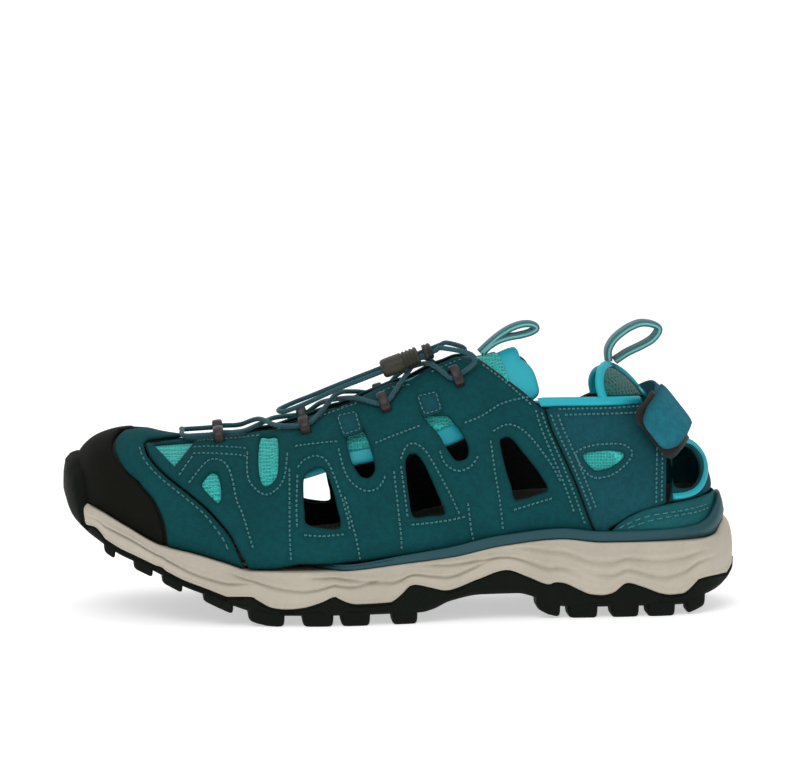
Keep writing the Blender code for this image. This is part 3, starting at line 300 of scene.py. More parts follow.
def edge_distance(loop, pts):
    best = np.full(len(pts), 1e9)
    for a, b in zip(loop, np.roll(loop, -1, axis=0)):
        d = b - a
        t = np.clip(((pts - a) @ d) / max(float(d @ d), 1e-12), 0, 1)
        best = np.minimum(best, np.linalg.norm(pts - (a + t[:, None] * d), axis=1))
    return best


def triangulate(outline, holes, cell):
    loops = [refine(np.array(outline, float), cell)] + [refine(np.array(h, float), cell) for h in holes]
    pts, edges = [], []
    for lp in loops:
        k = len(pts)
        pts += list(lp)
        edges += [(k + i, k + (i + 1) % len(lp)) for i in range(len(lp))]
    lo, hi = loops[0].min(0), loops[0].max(0)
    gx = np.arange(lo[0] + cell * .5, hi[0], cell)
    gy = np.arange(lo[1] + cell * .43, hi[1], cell * 0.866)
    grid = np.array([(a + (cell * .5 if j % 2 else 0), b) for j, b in enumerate(gy) for a in gx]).reshape(-1, 2)
    if len(grid):
        ok = inside(loops[0], grid) & (edge_distance(loops[0], grid) > cell * .45)
        for h in loops[1:]:
            ok &= ~inside(h, grid) & (edge_distance(h, grid) > cell * .45)
        pts += list(grid[ok])
    vs, _, fs = delaunay_2d_cdt([Vector((float(p[0]), float(p[1]))) for p in pts], edges, [], 0, 1e-5)[:3]
    vs = np.array([(v[0], v[1]) for v in vs])
    fs = np.array([f for f in fs if len(f) == 3])
    mid = vs[fs].mean(1)
    ok = inside(loops[0], mid)
    for h in loops[1:]:
        ok &= ~inside(h, mid)
    return vs, fs[ok]



def plan_loop(cf, pf, x0, x1, n):
    if isinstance(n, int):
        u = np.linspace(0, 1, n + 1)
        x = x0 + (x1 - x0) * (1 - np.cos(math.pi * u)) / 2
    else:
        x = np.array([x0] + [a for a in n if x0 + 1.0 < a < x1 - .8] + [x1])
    p = np.sqrt(np.maximum(pf(x), 0))
    p[0] = p[-1] = 0
    lat = np.stack([x, cf(x) - p], 1)
    med = np.stack([x, cf(x) + p], 1)[1:-1][::-1]
    return np.vstack([lat, med])


def grown(loop, d):
    t = np.roll(loop, -1, axis=0) - np.roll(loop, 1, axis=0)
    nrm = np.stack([t[:, 1], -t[:, 0]], 1)
    nrm /= np.maximum(np.linalg.norm(nrm, axis=1, keepdims=True), 1e-9)
    if np.dot(nrm[0], (-1, 0)) < 0:
        nrm = -nrm
    return loop + nrm * d



# ================================================================ side outlines (sheet squares)
def foot_line(xa, xb, step=5.0, up=0.0):
    x = np.linspace(xa, xb, max(2, int(abs(xb - xa) / step)))
    y = last_c(x) - np.sqrt(half_width2(x, foot_z(x) + up))
    c, r = to_sheet(x, y, foot_z(x) + up)
    return np.stack([c, r], 1)


TOE_REAR = arr((136, 429), (127, 433), (120, 438), (117, 444), (117, 451), (120, 458), (125, 466), (132, 474), (140, 480),
               (147, 488), (155, 496), (161, 505), (166, 515), (169, 525), (170.5, 535))
SEAM = arr((146, 447), (151, 459), (163, 472), (180, 485), (195, 496), (210, 508), (222, 520), (233, 533), (240, 546))
EYESTAY = arr((199, 441), (216, 440), (240, 438), (262, 435), (282, 432), (300, 425), (318, 418), (335, 412), (345, 410),
              (360, 402), (378, 393), (395, 386), (410, 384), (430, 372), (445, 365), (455, 359), (465, 357.5), (475, 358))
BACK_EDGE = arr((483, 363), (500, 375.5), (520, 390.5), (534, 402))
QSEAM = arr((543, 410), (549, 430), (561, 456), (574, 486), (583, 510), (590, 528))
W1 = arr((206, 486), (210, 478), (215, 474), (221, 476), (224, 485), (225, 497), (222, 502), (216, 497))
W2 = arr((262, 442), (270, 441), (280, 442), (281, 470), (278, 480), (270, 486), (264, 482), (261, 465))
W3 = arr((306, 480), (309, 474), (315, 470), (321, 468), (326, 470), (331, 480), (335, 492), (338, 505), (341, 524), (325, 525.5),
         (309, 521), (307, 510), (306, 495))
W4 = arr((348, 441), (353, 436), (363, 432), (368, 440), (372, 452), (375, 465), (374, 472), (369, 477), (362, 476), (357, 470),
         (352, 460))
W5 = arr((405, 462), (408, 455), (413, 453), (419, 457), (424, 465), (430, 478), (436, 492), (443, 511), (428, 513.5), (412, 514),
         (408, 495), (406, 478))
W6 = arr((424, 418), (445, 417), (452, 423), (460, 433), (466, 445), (466, 455), (462, 459), (455, 460), (450, 455), (444, 446),
         (438, 435), (430, 426))
W7 = arr((498, 443), (501, 438), (506, 437), (512, 441), (520, 451), (530, 463), (540, 477), (545, 488), (535, 493), (518, 498),
         (512, 497), (509, 485), (504, 470))
W8 = arr((580, 455), (590, 451), (605, 450), (617, 451), (621, 455), (617, 460), (608, 466), (598, 469), (590, 468))
TRI = arr((156, 448), (196, 445.5), (178, 468))


def scaled(loop, d):
    c = loop.mean(0)
    v = loop - c
    n = np.linalg.norm(v, axis=1, keepdims=True)
    return c + v * (n + d) / n




# ================================================================ mesh building
CENTRE = np.array([0.0, 2.377, 0.0])      # the shapes are worked about the last's line


def link(name, verts, faces, mats, smooth=True, attrs=None, mat_index=None):
    me = bpy.data.meshes.new(name)
    me.from_pydata([tuple(v) for v in ((np.array(verts, float) + CENTRE) * MM).tolist()], [], [list(map(int, f)) for f in faces])
    me.update()
    bm = bmesh.new()
    bm.from_mesh(me)
    if attrs:
        for key, vals in attrs.items():
            lay = bm.verts.layers.float.new(key)
            bm.verts.ensure_lookup_table()
            for v, a in zip(bm.verts, vals):
                v[lay] = float(a)
    bmesh.ops.remove_doubles(bm, verts=bm.verts, dist=1e-6)
    bmesh.ops.recalc_face_normals(bm, faces=bm.faces)
    bm.to_mesh(me)
    bm.free()
    for p in me.polygons:
        p.use_smooth = smooth
    for m in (mats if isinstance(mats, (list, tuple)) else [mats]):
        me.materials.append(m)
    ob = bpy.data.objects.new(name, me)
    bpy.context.scene.collection.objects.link(ob)
    return ob


def crease(ob, angle=40):
    me = ob.data
    me.set_sharp_from_angle(angle=math.radians(angle))


def place(ob, body, slot, *nodes):
    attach(ob, body)
    if nodes:
        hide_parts(*nodes)
    return ob


def smooth_loop(loop, per=6):
    return spline(np.array(loop, float), per, closed=True)


def offset_loop(loop, d):
    """Closed loop moved outward by d along its normals."""
    loop = np.array(loop, float)
    t = np.roll(loop, -1, axis=0) - np.roll(loop, 1, axis=0)
    n = np.stack([t[:, 1], -t[:, 0]], 1)
    n /= np.maximum(np.linalg.norm(n, axis=1, keepdims=True), 1e-9)
    area = 0.5 * np.sum(loop[:, 0] * np.roll(loop[:, 1], -1) - np.roll(loop[:, 0], -1) * loop[:, 1])
    if area < 0:
        n = -n
    return loop + n * d


def seg_distance(line, pts, closed=False):
    best = np.full(len(pts), 1e9)
    line = np.array(line, float)
    ends = np.roll(line, -1, axis=0) if closed else line[1:]
    for a, b in zip(line, ends):
        d = b - a
        t = np.clip(((pts - a) @ d) / max(float(d @ d), 1e-12), 0, 1)
        best = np.minimum(best, np.linalg.norm(pts - (a + t[:, None] * d), axis=1))
    return best


def fine_tri(outline, holes, cell, rims=(0.9, 2.2)):
    """Triangles of a flat outline with holes, with extra rows of points just inside every edge."""
    loops = [refine(np.array(outline, float), cell)] + [refine(np.array(h, float), cell) for h in holes]
    pts, edges = [], []
    for lp in loops:
        k = len(pts)
        pts += list(lp)
        edges += [(k + i, k + (i + 1) % len(lp)) for i in range(len(lp))]
    extra = []
    for li, lp in enumerate(loops):
        for d in rims:
            q = offset_loop(lp, -d if li == 0 else d)
            ok = inside(loops[0], q)
            for h in loops[1:]:
                ok &= ~inside(h, q)
            q = q[ok]
            dist = edge_distance_all(loops, q)
            extra += list(q[dist > d * .82])
    lo, hi = loops[0].min(0), loops[0].max(0)
    gx = np.arange(lo[0] + cell * .5, hi[0], cell)
    gy = np.arange(lo[1] + cell * .43, hi[1], cell * 0.866)
    xx, yy = np.meshgrid(gx, gy)
    xx[1::2] += cell * .5
    grid = np.stack([xx.ravel(), yy.ravel()], 1)
    ok = inside(loops[0], grid)
    for h in loops[1:]:
        ok &= ~inside(h, grid)
    grid = grid[ok]
    grid = grid[edge_distance_all(loops, grid) > (rims[-1] + cell * .5 if rims else cell * .5)]
    pts += extra + list(grid)
    vs, _, fs = delaunay_2d_cdt([Vector((float(p[0]), float(p[1]))) for p in pts], edges, [], 0, 1e-5)[:3]
    vs = np.array([(v[0], v[1]) for v in vs])
    fs = np.array([f for f in fs if len(f) == 3])
    mid = vs[fs].mean(1)
    ok = inside(loops[0], mid)
    for h in loops[1:]:
        ok &= ~inside(h, mid)
    return vs, fs[ok], edge_distance_all(loops, vs)


def edge_distance_all(loops, pts):
    best = np.full(len(pts), 1e9)
    for lp in loops:
        best = np.minimum(best, edge_distance(lp, pts))
    return best


def sheet(name, outline, holes, lift, layer, mats, cell=2.6, seams=(), groove=0.32, width=1.7, puff=0.0, puff_w=7.0,
          roundness=0.5, unit=1.0, relief=None):
    """Padded sheet on the last; `unit` is the size of one sheet square in outline units. Returns it and its face height."""
    cell = cell * FINE
    outline = np.array(outline, float)
    holes = [np.array(h, float) for h in holes]
    v2, tri, dist = fine_tri(outline, holes, cell, rims=(0.9 * unit, 2.2 * unit))

    def face(q, dd=None, with_seams=True):
        dd = edge_distance_all([outline] + holes, q) if dd is None else dd
        t = np.clip(dd / (2.3 * unit), 0, 1)
        o = float(layer[1]) - roundness * (1 - np.sqrt(np.maximum(1 - (1 - t)**2, 0)))
        o = o + puff * (1 - np.exp(-dd / (puff_w * unit)))
        ln = np.full(len(q), 1e9)
        if with_seams:
            for sm in seams:
                ln = np.minimum(ln, seg_distance(sm, q))
        return o - groove * np.exp(-(ln / (width * unit))**2), ln

    p, n = lift(v2)
    outer, lines = face(v2, dist)
    if relief is not None:
        outer = outer + relief(v2, p)
    k = len(p)
    verts = np.vstack([p + n * layer[0], p + n * outer[:, None]])
    faces = [(a + k, b + k, c + k) for a, b, c in tri] + [(c, b, a) for a, b, c in tri]
    pairs = {(int(a), int(b)) for f in tri for a, b in ((f[0], f[1]), (f[1], f[2]), (f[2], f[0]))}
    for a, b in sorted(pairs):
        if (b, a) not in pairs:
            faces.append((a, b, b + k, a + k))
    # edge: nearness to the outline and window borders; the materials use it to paint shade on the rolled edges
    edge = np.exp(-dist / (2.0 * unit))
    seam = np.exp(-(lines / (3.0 * unit))**2)
    ob = link(name, verts, faces, mats, attrs={"edge": np.concatenate([edge, edge]), "seam": np.concatenate([seam, seam])})
    return ob, lambda q: face(q)[0]


def along(line, pitch, closed=False, phase=0.5):
    """Points at even spacing along a line: (start, end) of each stitch."""
    line = np.array(line, float)
    if closed:
        line = np.vstack([line, line[:1]])
    seg = np.linalg.norm(np.diff(line, axis=0), axis=1)
    s = np.concatenate([[0], np.cumsum(seg)])
    n = max(1, int(s[-1] / pitch))
    pitch = s[-1] / n
    a = (np.arange(n) + 0.14) * pitch
    b = (np.arange(n) + 0.86) * pitch
    def at(q):
        return np.stack([np.interp(q, s, line[:, 0]), np.interp(q, s, line[:, 1])], 1)
    return at(a), at(b)


def stitches(name, lines, lift, height, mats, pitch=4.4, radius=0.26, body="shoe", slot="suede_teal", sides=6):
    """Rows of short raised threads that dip at both ends."""
    A, B = [], []
    for ln in lines:
        closed = len(ln) > 2 and np.allclose(ln[0], ln[-1])
        a, b = along(ln, pitch)
        A.append(a)
        B.append(b)
    A, B = np.vstack(A), np.vstack(B)
    verts, faces = [], []
    fr = (0.0, 0.12, 0.5, 0.88, 1.0)
    hh = (-0.42, 0.02, 0.20, 0.02, -0.42)
    rr = (0.45, 0.9, 1.0, 0.9, 0.45)
    P, N = [], []
    for f in fr:
        p, n = lift(A * (1 - f) + B * f)
        P.append(p)
        N.append(n)
    hgt = height if np.isscalar(height) else height(0.5 * (A + B))
    for i in range(len(A)):
        h0 = hgt if np.isscalar(hgt) else hgt[i]
        k = len(verts)
        t = P[-1][i] - P[0][i]
        t = t / max(np.linalg.norm(t), 1e-9)
        for j in range(5):
            c = P[j][i] + N[j][i] * (h0 + hh[j])
            b = np.cross(t, N[j][i])
            for m in range(sides):
                q = 2 * math.pi * m / sides
                verts.append(c + radius * rr[j] * (math.cos(q) * b * 1.15 + math.sin(q) * N[j][i]))
        for j in range(4):
            for m in range(sides):
                l = (m + 1) % sides
                faces.append((k + j * sides + m, k + j * sides + l, k + (j + 1) * sides + l, k + (j + 1) * sides + m))
        faces.append(tuple(k + m for m in range(sides))[::-1])
        faces.append(tuple(k + 4 * sides + m for m in range(sides)))
    ob = link(name, verts, faces, mats)
    return place(ob, body, slot)


def sweep(name, path, section, mats, closed=False, up=None, caps=True, attrs=None, twist_free=True, scale=None):
    """Section (list of (a, b)) carried along a path; a is along `up` made square to the path."""
    path = np.array(path, float)
    n, m = len(path), len(section)
    if closed:
        t = np.roll(path, -1, axis=0) - np.roll(path, 1, axis=0)
    else:
        t = np.gradient(path, axis=0)
    t /= np.linalg.norm(t, axis=1, keepdims=True)
    ups = np.array(up if up is not None else (0, 0, 1), float)
    fixed = ups.ndim == 1
    nrm = None
    verts, faces = [], []
    frames = []
    for i in range(n):
        r = ups if fixed else ups[i]
        if up is None and nrm is not None:
            r = nrm
        nrm = r - t[i] * (r @ t[i])
        nrm = nrm / max(np.linalg.norm(nrm), 1e-9)
        frames.append(nrm)
    tw = 0.0
    if closed and up is None:
        a = frames[-1] - t[0] * (frames[-1] @ t[0])
        a /= np.linalg.norm(a)
        b = np.cross(t[0], frames[0])
        tw = math.atan2(float(a @ b), float(a @ frames[0]))
    att = {k: [] for k in (attrs or {})}
    for i in range(n):
        n1 = frames[i]
        n2 = np.cross(t[i], n1)
        w = -tw * i / n
        c, s = math.cos(w), math.sin(w)
        sc = 1.0 if scale is None else scale[i]
        for j, (a, b) in enumerate(section):
            a2, b2 = (a * c - b * s) * sc, (a * s + b * c) * sc
            verts.append(path[i] + n1 * a2 + n2 * b2)
            for k in att:
                att[k].append(attrs[k][j])
    for i in range(n if closed else n - 1):
        j = (i + 1) % n
        for k in range(m):
            l = (k + 1) % m
            faces.append((i * m + k, i * m + l, j * m + l, j * m + k))
    if not closed and caps:
        faces.append(tuple(range(m))[::-1])
        faces.append(tuple((n - 1) * m + k for k in range(m)))
    return link(name, verts, faces, mats, attrs=att or None)


def oval(a, b, n=16, power=2.0):
    out = []
    for q in np.linspace(0, 2 * math.pi, n, endpoint=False):
        c, s = math.cos(q), math.sin(q)
        out.append((a * math.copysign(abs(c)**(2 / power), c), b * math.copysign(abs(s)**(2 / power), s)))
    return out


def stack(name, loop, rings, mats, lo=None, hi=None, m=12, attrs_fn=None):
    """Plan loop built up in rings (growth, height), closed by ladders."""
    n2 = len(loop)
    n = n2 // 2
    verts, faces = [], []
    for d, zf in rings:
        g = grown(loop, d) if np.isscalar(d) else loop + (grown(loop, 1.0) - loop) * d[:, None]
        z = zf(g[:, 0]) if callable(zf) else zf
        verts += [(a, b, c) for (a, b), c in zip(g, z)]
    for k in range(len(rings) - 1):
        for i in range(n2):
            j = (i + 1) % n2
            faces.append((k * n2 + i, k * n2 + j, (k + 1) * n2 + j, (k + 1) * n2 + i))
    for k, zf, up in ((0, lo, False), (len(rings) - 1, hi, True)):
        ring = [k * n2 + i for i in range(n2)]
        rows = [[ring[0]] * (m + 1)]
        for i in range(1, n):
            a, b = ring[i], ring[n2 - i]
            row = [a]
            for j in range(1, m):
                f = j / m
                p = np.array(verts[a]) * (1 - f) + np.array(verts[b]) * f
                if zf is not None:
                    p[2] = zf(np.array([p[0]]), 2 * f - 1)[0]
                row.append(len(verts))
                verts.append(tuple(p))
            rows.append(row + [b])
        rows.append([ring[n]] * (m + 1))
        for r0, r1 in zip(rows, rows[1:]):
            for j in range(m):
                q = (r0[j], r0[j + 1], r1[j + 1], r1[j])
                q = [q[i] for i in range(4) if q[i] != q[i - 1]]
                if len(set(q)) >= 3:
                    faces.append(q if up else q[::-1])
    return link(name, verts, faces, mats)


# ================================================================ materials
class Nodes:
    def __init__(self, name):
        self.mat = bpy.data.materials.new(name)
        self.mat.use_nodes = True
        self.t = self.mat.node_tree
        self.b = self.t.nodes["Principled BSDF"]
        self.co = self.t.nodes.new("ShaderNodeTexCoord").outputs["Object"]

    def n(self, kind, **kw):
        node = self.t.nodes.new(kind)
        for k, v in kw.items():
            setattr(node, k, v)
        return node

    def l(self, a, b):
        self.t.links.new(a, b)

    def noise(self, scale, detail=3.0, rough=0.55, co=None):
        x = self.n("ShaderNodeTexNoise")
        x.inputs["Scale"].default_value = scale
        x.inputs["Detail"].default_value = detail
        x.inputs["Roughness"].default_value = rough
        self.l(co or self.co, x.inputs["Vector"])
        return x.outputs["Fac"]

    def voronoi(self, scale, feature="F1", rand=1.0, co=None):
        x = self.n("ShaderNodeTexVoronoi", feature=feature)
        x.inputs["Scale"].default_value = scale
        x.inputs["Randomness"].default_value = rand
        self.l(co or self.co, x.inputs["Vector"])
        return x.outputs["Distance"]

    def attr(self, name):
        x = self.n("ShaderNodeAttribute")
        x.attribute_name = name
        return x.outputs["Fac"]

    def ramp(self, fac, stops):
        x = self.n("ShaderNodeValToRGB")
        e = x.color_ramp.elements
        while len(e) < len(stops):
            e.new(0.5)
        for k, (pos, col) in enumerate(stops):
            e[k].position = pos
            e[k].color = (col[0], col[1], col[2], 1) if not np.isscalar(col) else (col, col, col, 1)
        self.l(fac, x.inputs["Fac"])
        return x.outputs["Color"]

    def mix(self, fac, a, b, mode="MIX"):
        x = self.n("ShaderNodeMix", data_type="RGBA", blend_type=mode)
        if np.isscalar(fac):
            x.inputs[0].default_value = fac
        else:
            self.l(fac, x.inputs[0])
        for v, s in ((a, 6), (b, 7)):
            if isinstance(v, (tuple, list)):
                x.inputs[s].default_value = (v[0], v[1], v[2], 1)
            else:
                self.l(v, x.inputs[s])
        return x.outputs[2]

    def math(self, op, a, b=None, clamp=False):
        x = self.n("ShaderNodeMath", operation=op, use_clamp=clamp)
        for k, v in enumerate((a, b)):
            if v is None:
                continue
            if np.isscalar(v):
                x.inputs[k].default_value = v
            else:
                self.l(v, x.inputs[k])
        return x.outputs[0]

    def bump(self, height, strength, dist):
        x = self.n("ShaderNodeBump")
        x.inputs["Strength"].default_value = strength
        x.inputs["Distance"].default_value = dist
        self.l(height, x.inputs["Height"])
        if self.b.inputs["Normal"].is_linked:
            self.l(self.b.inputs["Normal"].links[0].from_socket, x.inputs["Normal"])
        self.l(x.outputs["Normal"], self.b.inputs["Normal"])

    def out(self, color, rough, sheen=0.0, sheen_tint=None, metal=0.0, spec=0.5):
        if isinstance(color, tuple):
            self.b.inputs["Base Color"].default_value = (*color, 1)
        else:
            self.l(color, self.b.inputs["Base Color"])
        if np.isscalar(rough):
            self.b.inputs["Roughness"].default_value = rough
        else:
            self.l(rough, self.b.inputs["Roughness"])
        self.b.inputs["Metallic"].default_value = metal
        self.b.inputs["Specular IOR Level"].default_value = spec
        if sheen:
            self.b.inputs["Sheen Weight"].default_value = sheen
            self.b.inputs["Sheen Roughness"].default_value = 0.4
            if sheen_tint:
                self.b.inputs["Sheen Tint"].default_value = (*sheen_tint, 1)
        return self.mat


def lin(r, g, b):
    return tuple(((c / 255) / 12.92 if c / 255 <= 0.04045 else ((c / 255 + 0.055) / 1.055)**2.4) for c in (r, g, b))


def times(c, f):
    return tuple(min(1.0, v * f) for v in c)


def nubuck(name, c, vary=0.16):
    m = Nodes(name)
    big, mid, fine = m.noise(45, 3), m.noise(420, 4, .6), m.noise(2600, 3, .7)
    col = m.mix(m.ramp(big, [(0.3, 0.0), (0.7, 1.0)]), times(c, 1 - vary), times(c, 1 + vary))
    col = m.mix(m.ramp(fine, [(0.36, 0.0), (0.66, 1.0)]), col, m.mix(0.5, col, times(c, 1.75)))
    col = m.mix(m.ramp(mid, [(0.42, 0.35), (0.58, 0.0)]), col, times(c, 0.62))
    # painted shade: darker towards the edges of each piece, where the padded edges roll away from the light
    col = m.mix(m.math("MULTIPLY", m.attr("edge"), 0.55), col, times(c, 0.42))
    col = m.mix(m.math("MULTIPLY", m.attr("seam"), 0.35), col, times(c, 0.55))
    m.bump(fine, 0.42, 0.00022)
    m.bump(mid, 0.25, 0.0003)
    return m.out(col, m.ramp(mid, [(0.3, 0.78), (0.7, 0.93)]), sheen=0.06, sheen_tint=times(c, 3.0), spec=0.14)


def smooth_skin(name, c, rough=0.5):
    m = Nodes(name)
    big, fine = m.noise(60, 3), m.noise(3000, 2, .6)
    grain = m.voronoi(1500, "F1", 1.0)
    col = m.mix(big, times(c, 0.84), times(c, 1.14))
    # painted shade: darker towards the edges of the padded pieces
    col = m.mix(m.math("MULTIPLY", m.attr("edge"), 0.4), col, times(c, 0.55))
    m.bump(grain, 0.14, 0.0002)
    m.bump(fine, 0.1, 0.0001)
    return m.out(col, m.ramp(fine, [(0.2, rough - .08), (0.8, rough + .1)]), sheen=0.12, sheen_tint=times(c, 2))


def knit_mesh(name, c, thread, scale=820):
    m = Nodes(name)
    cell = m.voronoi(scale, "F1", 0.28)
    rib = m.voronoi(scale, "DISTANCE_TO_EDGE", 0.28)
    big, fine = m.noise(90, 2), m.noise(4200, 2)
    hole = m.ramp(rib, [(0.05, 0.0), (0.24, 1.0)])
    col = m.mix(hole, thread, times(c, 0.55))
    col = m.mix(m.ramp(fine, [(0.4, 0.0), (0.65, 0.5)]), col, times(thread, 1.15))
    col = m.mix(m.ramp(big, [(0.3, 0.25), (0.7, 0.0)]), col, times(c, 0.5))
    m.bump(m.ramp(rib, [(0.0, 1.0), (0.26, 0.0)]), 0.9, 0.0004)
    m.bump(fine, 0.2, 0.0001)
    return m.out(col, 0.8, sheen=0.2)


def rubber(name, c, scuff=0.25, rough=0.62, pebble=900):
    m = Nodes(name)
    big, fine = m.noise(70, 4), m.noise(2400, 3)
    peb = m.voronoi(pebble, "F1", 1.0)
    col = m.mix(m.ramp(big, [(0.45, 0.0), (0.75, scuff)]), c, times(c, 2.6))
    col = m.mix(m.ramp(fine, [(0.5, 0.0), (0.75, 0.35)]), col, times(c, 2.0))
    m.bump(peb, 0.30, 0.00025)
    m.bump(fine, 0.2, 0.00012)
    return m.out(col, m.ramp(big, [(0.3, rough), (0.7, rough + .14)]), spec=0.12)


def foam(name, c):
    m = Nodes(name)
    big, mid, fine = m.noise(38, 4), m.noise(500, 4), m.noise(3200, 2)
    col = m.mix(m.ramp(big, [(0.35, 0.0), (0.7, 1.0)]), times(c, 0.93), times(c, 1.05))
    col = m.mix(m.ramp(mid, [(0.52, 0.0), (0.78, 0.28)]), col, times(c, 0.72))
    # painted shade: darker where the attribute 'low' is high; no mesh in this script writes 'low'
    col = m.mix(m.math("MULTIPLY", m.attr("low"), 0.22), col, times(c, 0.55))
    m.bump(m.voronoi(1300, "F1", 1.0), 0.16, 0.0002)
    m.bump(fine, 0.12, 0.0001)
    return m.out(col, m.ramp(mid, [(0.3, 0.56), (0.7, 0.7)]), spec=0.35)


def woven(name, c, light, axis_scale=(900, 900, 900), stripe=False, stripe_col=None):
    m = Nodes(name)
    mp = m.n("ShaderNodeMapping")
    mp.inputs["Rotation"].default_value = (0.4, 0.7, 0.3)
    m.l(m.co, mp.inputs["Vector"])
    w1 = m.n("ShaderNodeTexWave", wave_type="BANDS", bands_direction="X")
    w2 = m.n("ShaderNodeTexWave", wave_type="BANDS", bands_direction="Z")
    for w in (w1, w2):
        w.inputs["Scale"].default_value = 420
        w.inputs["Distortion"].default_value = 0.8
        m.l(mp.outputs["Vector"], w.inputs["Vector"])
    weave = m.math("MULTIPLY", w1.outputs["Fac"], w2.outputs["Fac"])
    fine = m.noise(3500, 2)
    col = m.mix(m.ramp(weave, [(0.1, 0.0), (0.7, 1.0)]), times(c, 0.55), light)
    col = m.mix(m.ramp(fine, [(0.4, 0.0), (0.7, 0.35)]), col, times(light, 1.2))
    if stripe:
        col = m.mix(m.ramp(m.attr("stripe"), [(0.42, 0.0), (0.55, 1.0)]), col, stripe_col)
    m.bump(weave, 0.6, 0.0003)
    m.bump(fine, 0.25, 0.0001)
    return m.out(col, 0.82, sheen=0.25)


def plastic(name, c, rough=0.42, grain=1600):
    m = Nodes(name)
    big, fine = m.noise(160, 3), m.noise(grain, 3)
    col = m.mix(m.ramp(big, [(0.3, 0.0), (0.7, 1.0)]), times(c, 0.75), times(c, 1.3))
    col = m.mix(m.ramp(fine, [(0.55, 0.0), (0.8, 0.3)]), col, times(c, 2.2))
    m.bump(fine, 0.22, 0.00015)
    return m.out(col, m.ramp(fine, [(0.3, rough - .08), (0.7, rough + .12)]))


TEAL = (0.0025, 0.0594, 0.0674)
BLUE = (0.0068, 0.0681, 0.0853)
M_SUEDE = nubuck("suede_teal", TEAL)
M_SUEDE2 = nubuck("suede_blue", BLUE)
M_PATCH = nubuck("suede_patch", (0.0112, 0.1079, 0.1222))
M_THREAD = woven("thread_teal", (0.0434, 0.2238, 0.2399), (0.0798, 0.3660, 0.3768))
M_TURQ = smooth_skin("smooth_turquoise", (0.0017, 0.4279, 0.5205), 0.5)
M_TURQ_DK = smooth_skin("turquoise_deep", lin(14, 120, 128), 0.6)
M_MESH = knit_mesh("mesh_turquoise", (0.0080, 0.2975, 0.2975), (0.0482, 0.7061, 0.6481))
M_EARMESH = knit_mesh("ear_mesh", lin(10, 74, 72), lin(24, 116, 112), 700)
M_LINING = woven("lining_black", lin(14, 13, 14), lin(26, 25, 27))
M_RUBBER = rubber("rubber_black", (0.0032, 0.0053, 0.0029))
M_TOE = rubber("toe_rubber", (0.0044, 0.0052, 0.0031), 0.2, 0.7, 1400)
M_FOAM = foam("foam_beige", (0.5451, 0.4963, 0.4089))
M_RAND = smooth_skin("frame_teal", (0.0044, 0.0657, 0.0846), 0.55)
M_BED = woven("bed_brown", lin(44, 42, 38), lin(74, 70, 62))
M_LOCK = plastic("lock_olive", (0.0217, 0.0211, 0.0099), 0.5)
M_BLACK = plastic("plain_black", lin(20, 20, 19), 0.5)
M_KEEP = plastic("keeper_brown", lin(33, 27, 24), 0.4)
M_WEB = woven("webbing", (0.0252, 0.1730, 0.1949), (0.0735, 0.3099, 0.3304), stripe=True, stripe_col=(0.20, 0.56, 0.54))
M_LACE = woven("lace_blue", lin(22, 70, 82), lin(46, 112, 124))
M_KNIT = nubuck("strap_knit", (0.0130, 0.1428, 0.1922), 0.2)
M_HOOK = woven("fastener_black", lin(12, 11, 11), lin(34, 31, 30))
M_WHITE = plastic("stiffener", lin(190, 190, 185), 0.6)
M_STEEL = plastic("shank_steel", lin(120, 120, 120), 0.3)
M_BOARD = woven("board", lin(120, 100, 74), lin(150, 130, 100))


# ================================================================ sole unit
def side_curve(pts):
    """Heights along the sole's lateral wall from points of the side elevation."""
    x = (pts[:, 0] - MID_COL) * SQ
    for _ in range(4):
        xc = np.clip(x, -137.9, 137.9)
        y = sole_c(xc) - np.sqrt(np.maximum(sole_p2(xc), 0))
        x, _y, z = sight(pts[:, 0], pts[:, 1], y)
    o = np.argsort(x)
    x, z = x[o], z[o]
    keep = [0] + [i for i in range(1, len(x)) if x[i] > x[i - 1] + 0.25]
    return curve(x[keep], z[keep])


def spring(x):
    """Extra lift of the ground side toward the toe."""
    return 2.7 * np.clip((-58 - np.asarray(x, float)) / 22, 0, 1) * np.clip((np.asarray(x, float) + 137) / 8, 0, 1)


def tread(x):
    return lug_z(x) + LUG + spring(x) * .45


def out_floor(x):
    return tread(x) + 2.6


joint_line = side_curve(arr((71, 499), (73, 509), (82, 519), (88, 523), (96, 524), (101, 526), (106, 531), (111, 538), (117, 544),
    (131, 553), (142, 560), (150, 561), (166, 563), (171, 567), (181, 579), (195, 585), (210, 590), (218, 592), (255, 592), (262, 596),
    (276, 603), (290, 604.5), (305, 603), (325, 597), (337, 592), (342, 595), (358, 599.5), (390, 598), (403, 589), (410, 582),
    (414, 581), (432, 584.5), (445, 587), (475, 577), (505, 567.5), (525, 574), (548, 582), (553, 580), (560, 580.5), (578, 588),
    (588, 592), (600, 593), (610, 591), (625, 581), (640, 585), (660, 592), (668, 593), (680, 592), (692, 583), (697, 578),
    (712, 575), (722, 573.5), (728, 571)))


def out_rim(x):
    bump = 14.6 * np.clip((-131.2 - x) / 3.0, 0, 1)**.6
    base = np.where((x > -133) & (x < 132), joint_line(x), edge_z(x))
    return np.maximum(base, out_floor(x) + 0.3) + bump


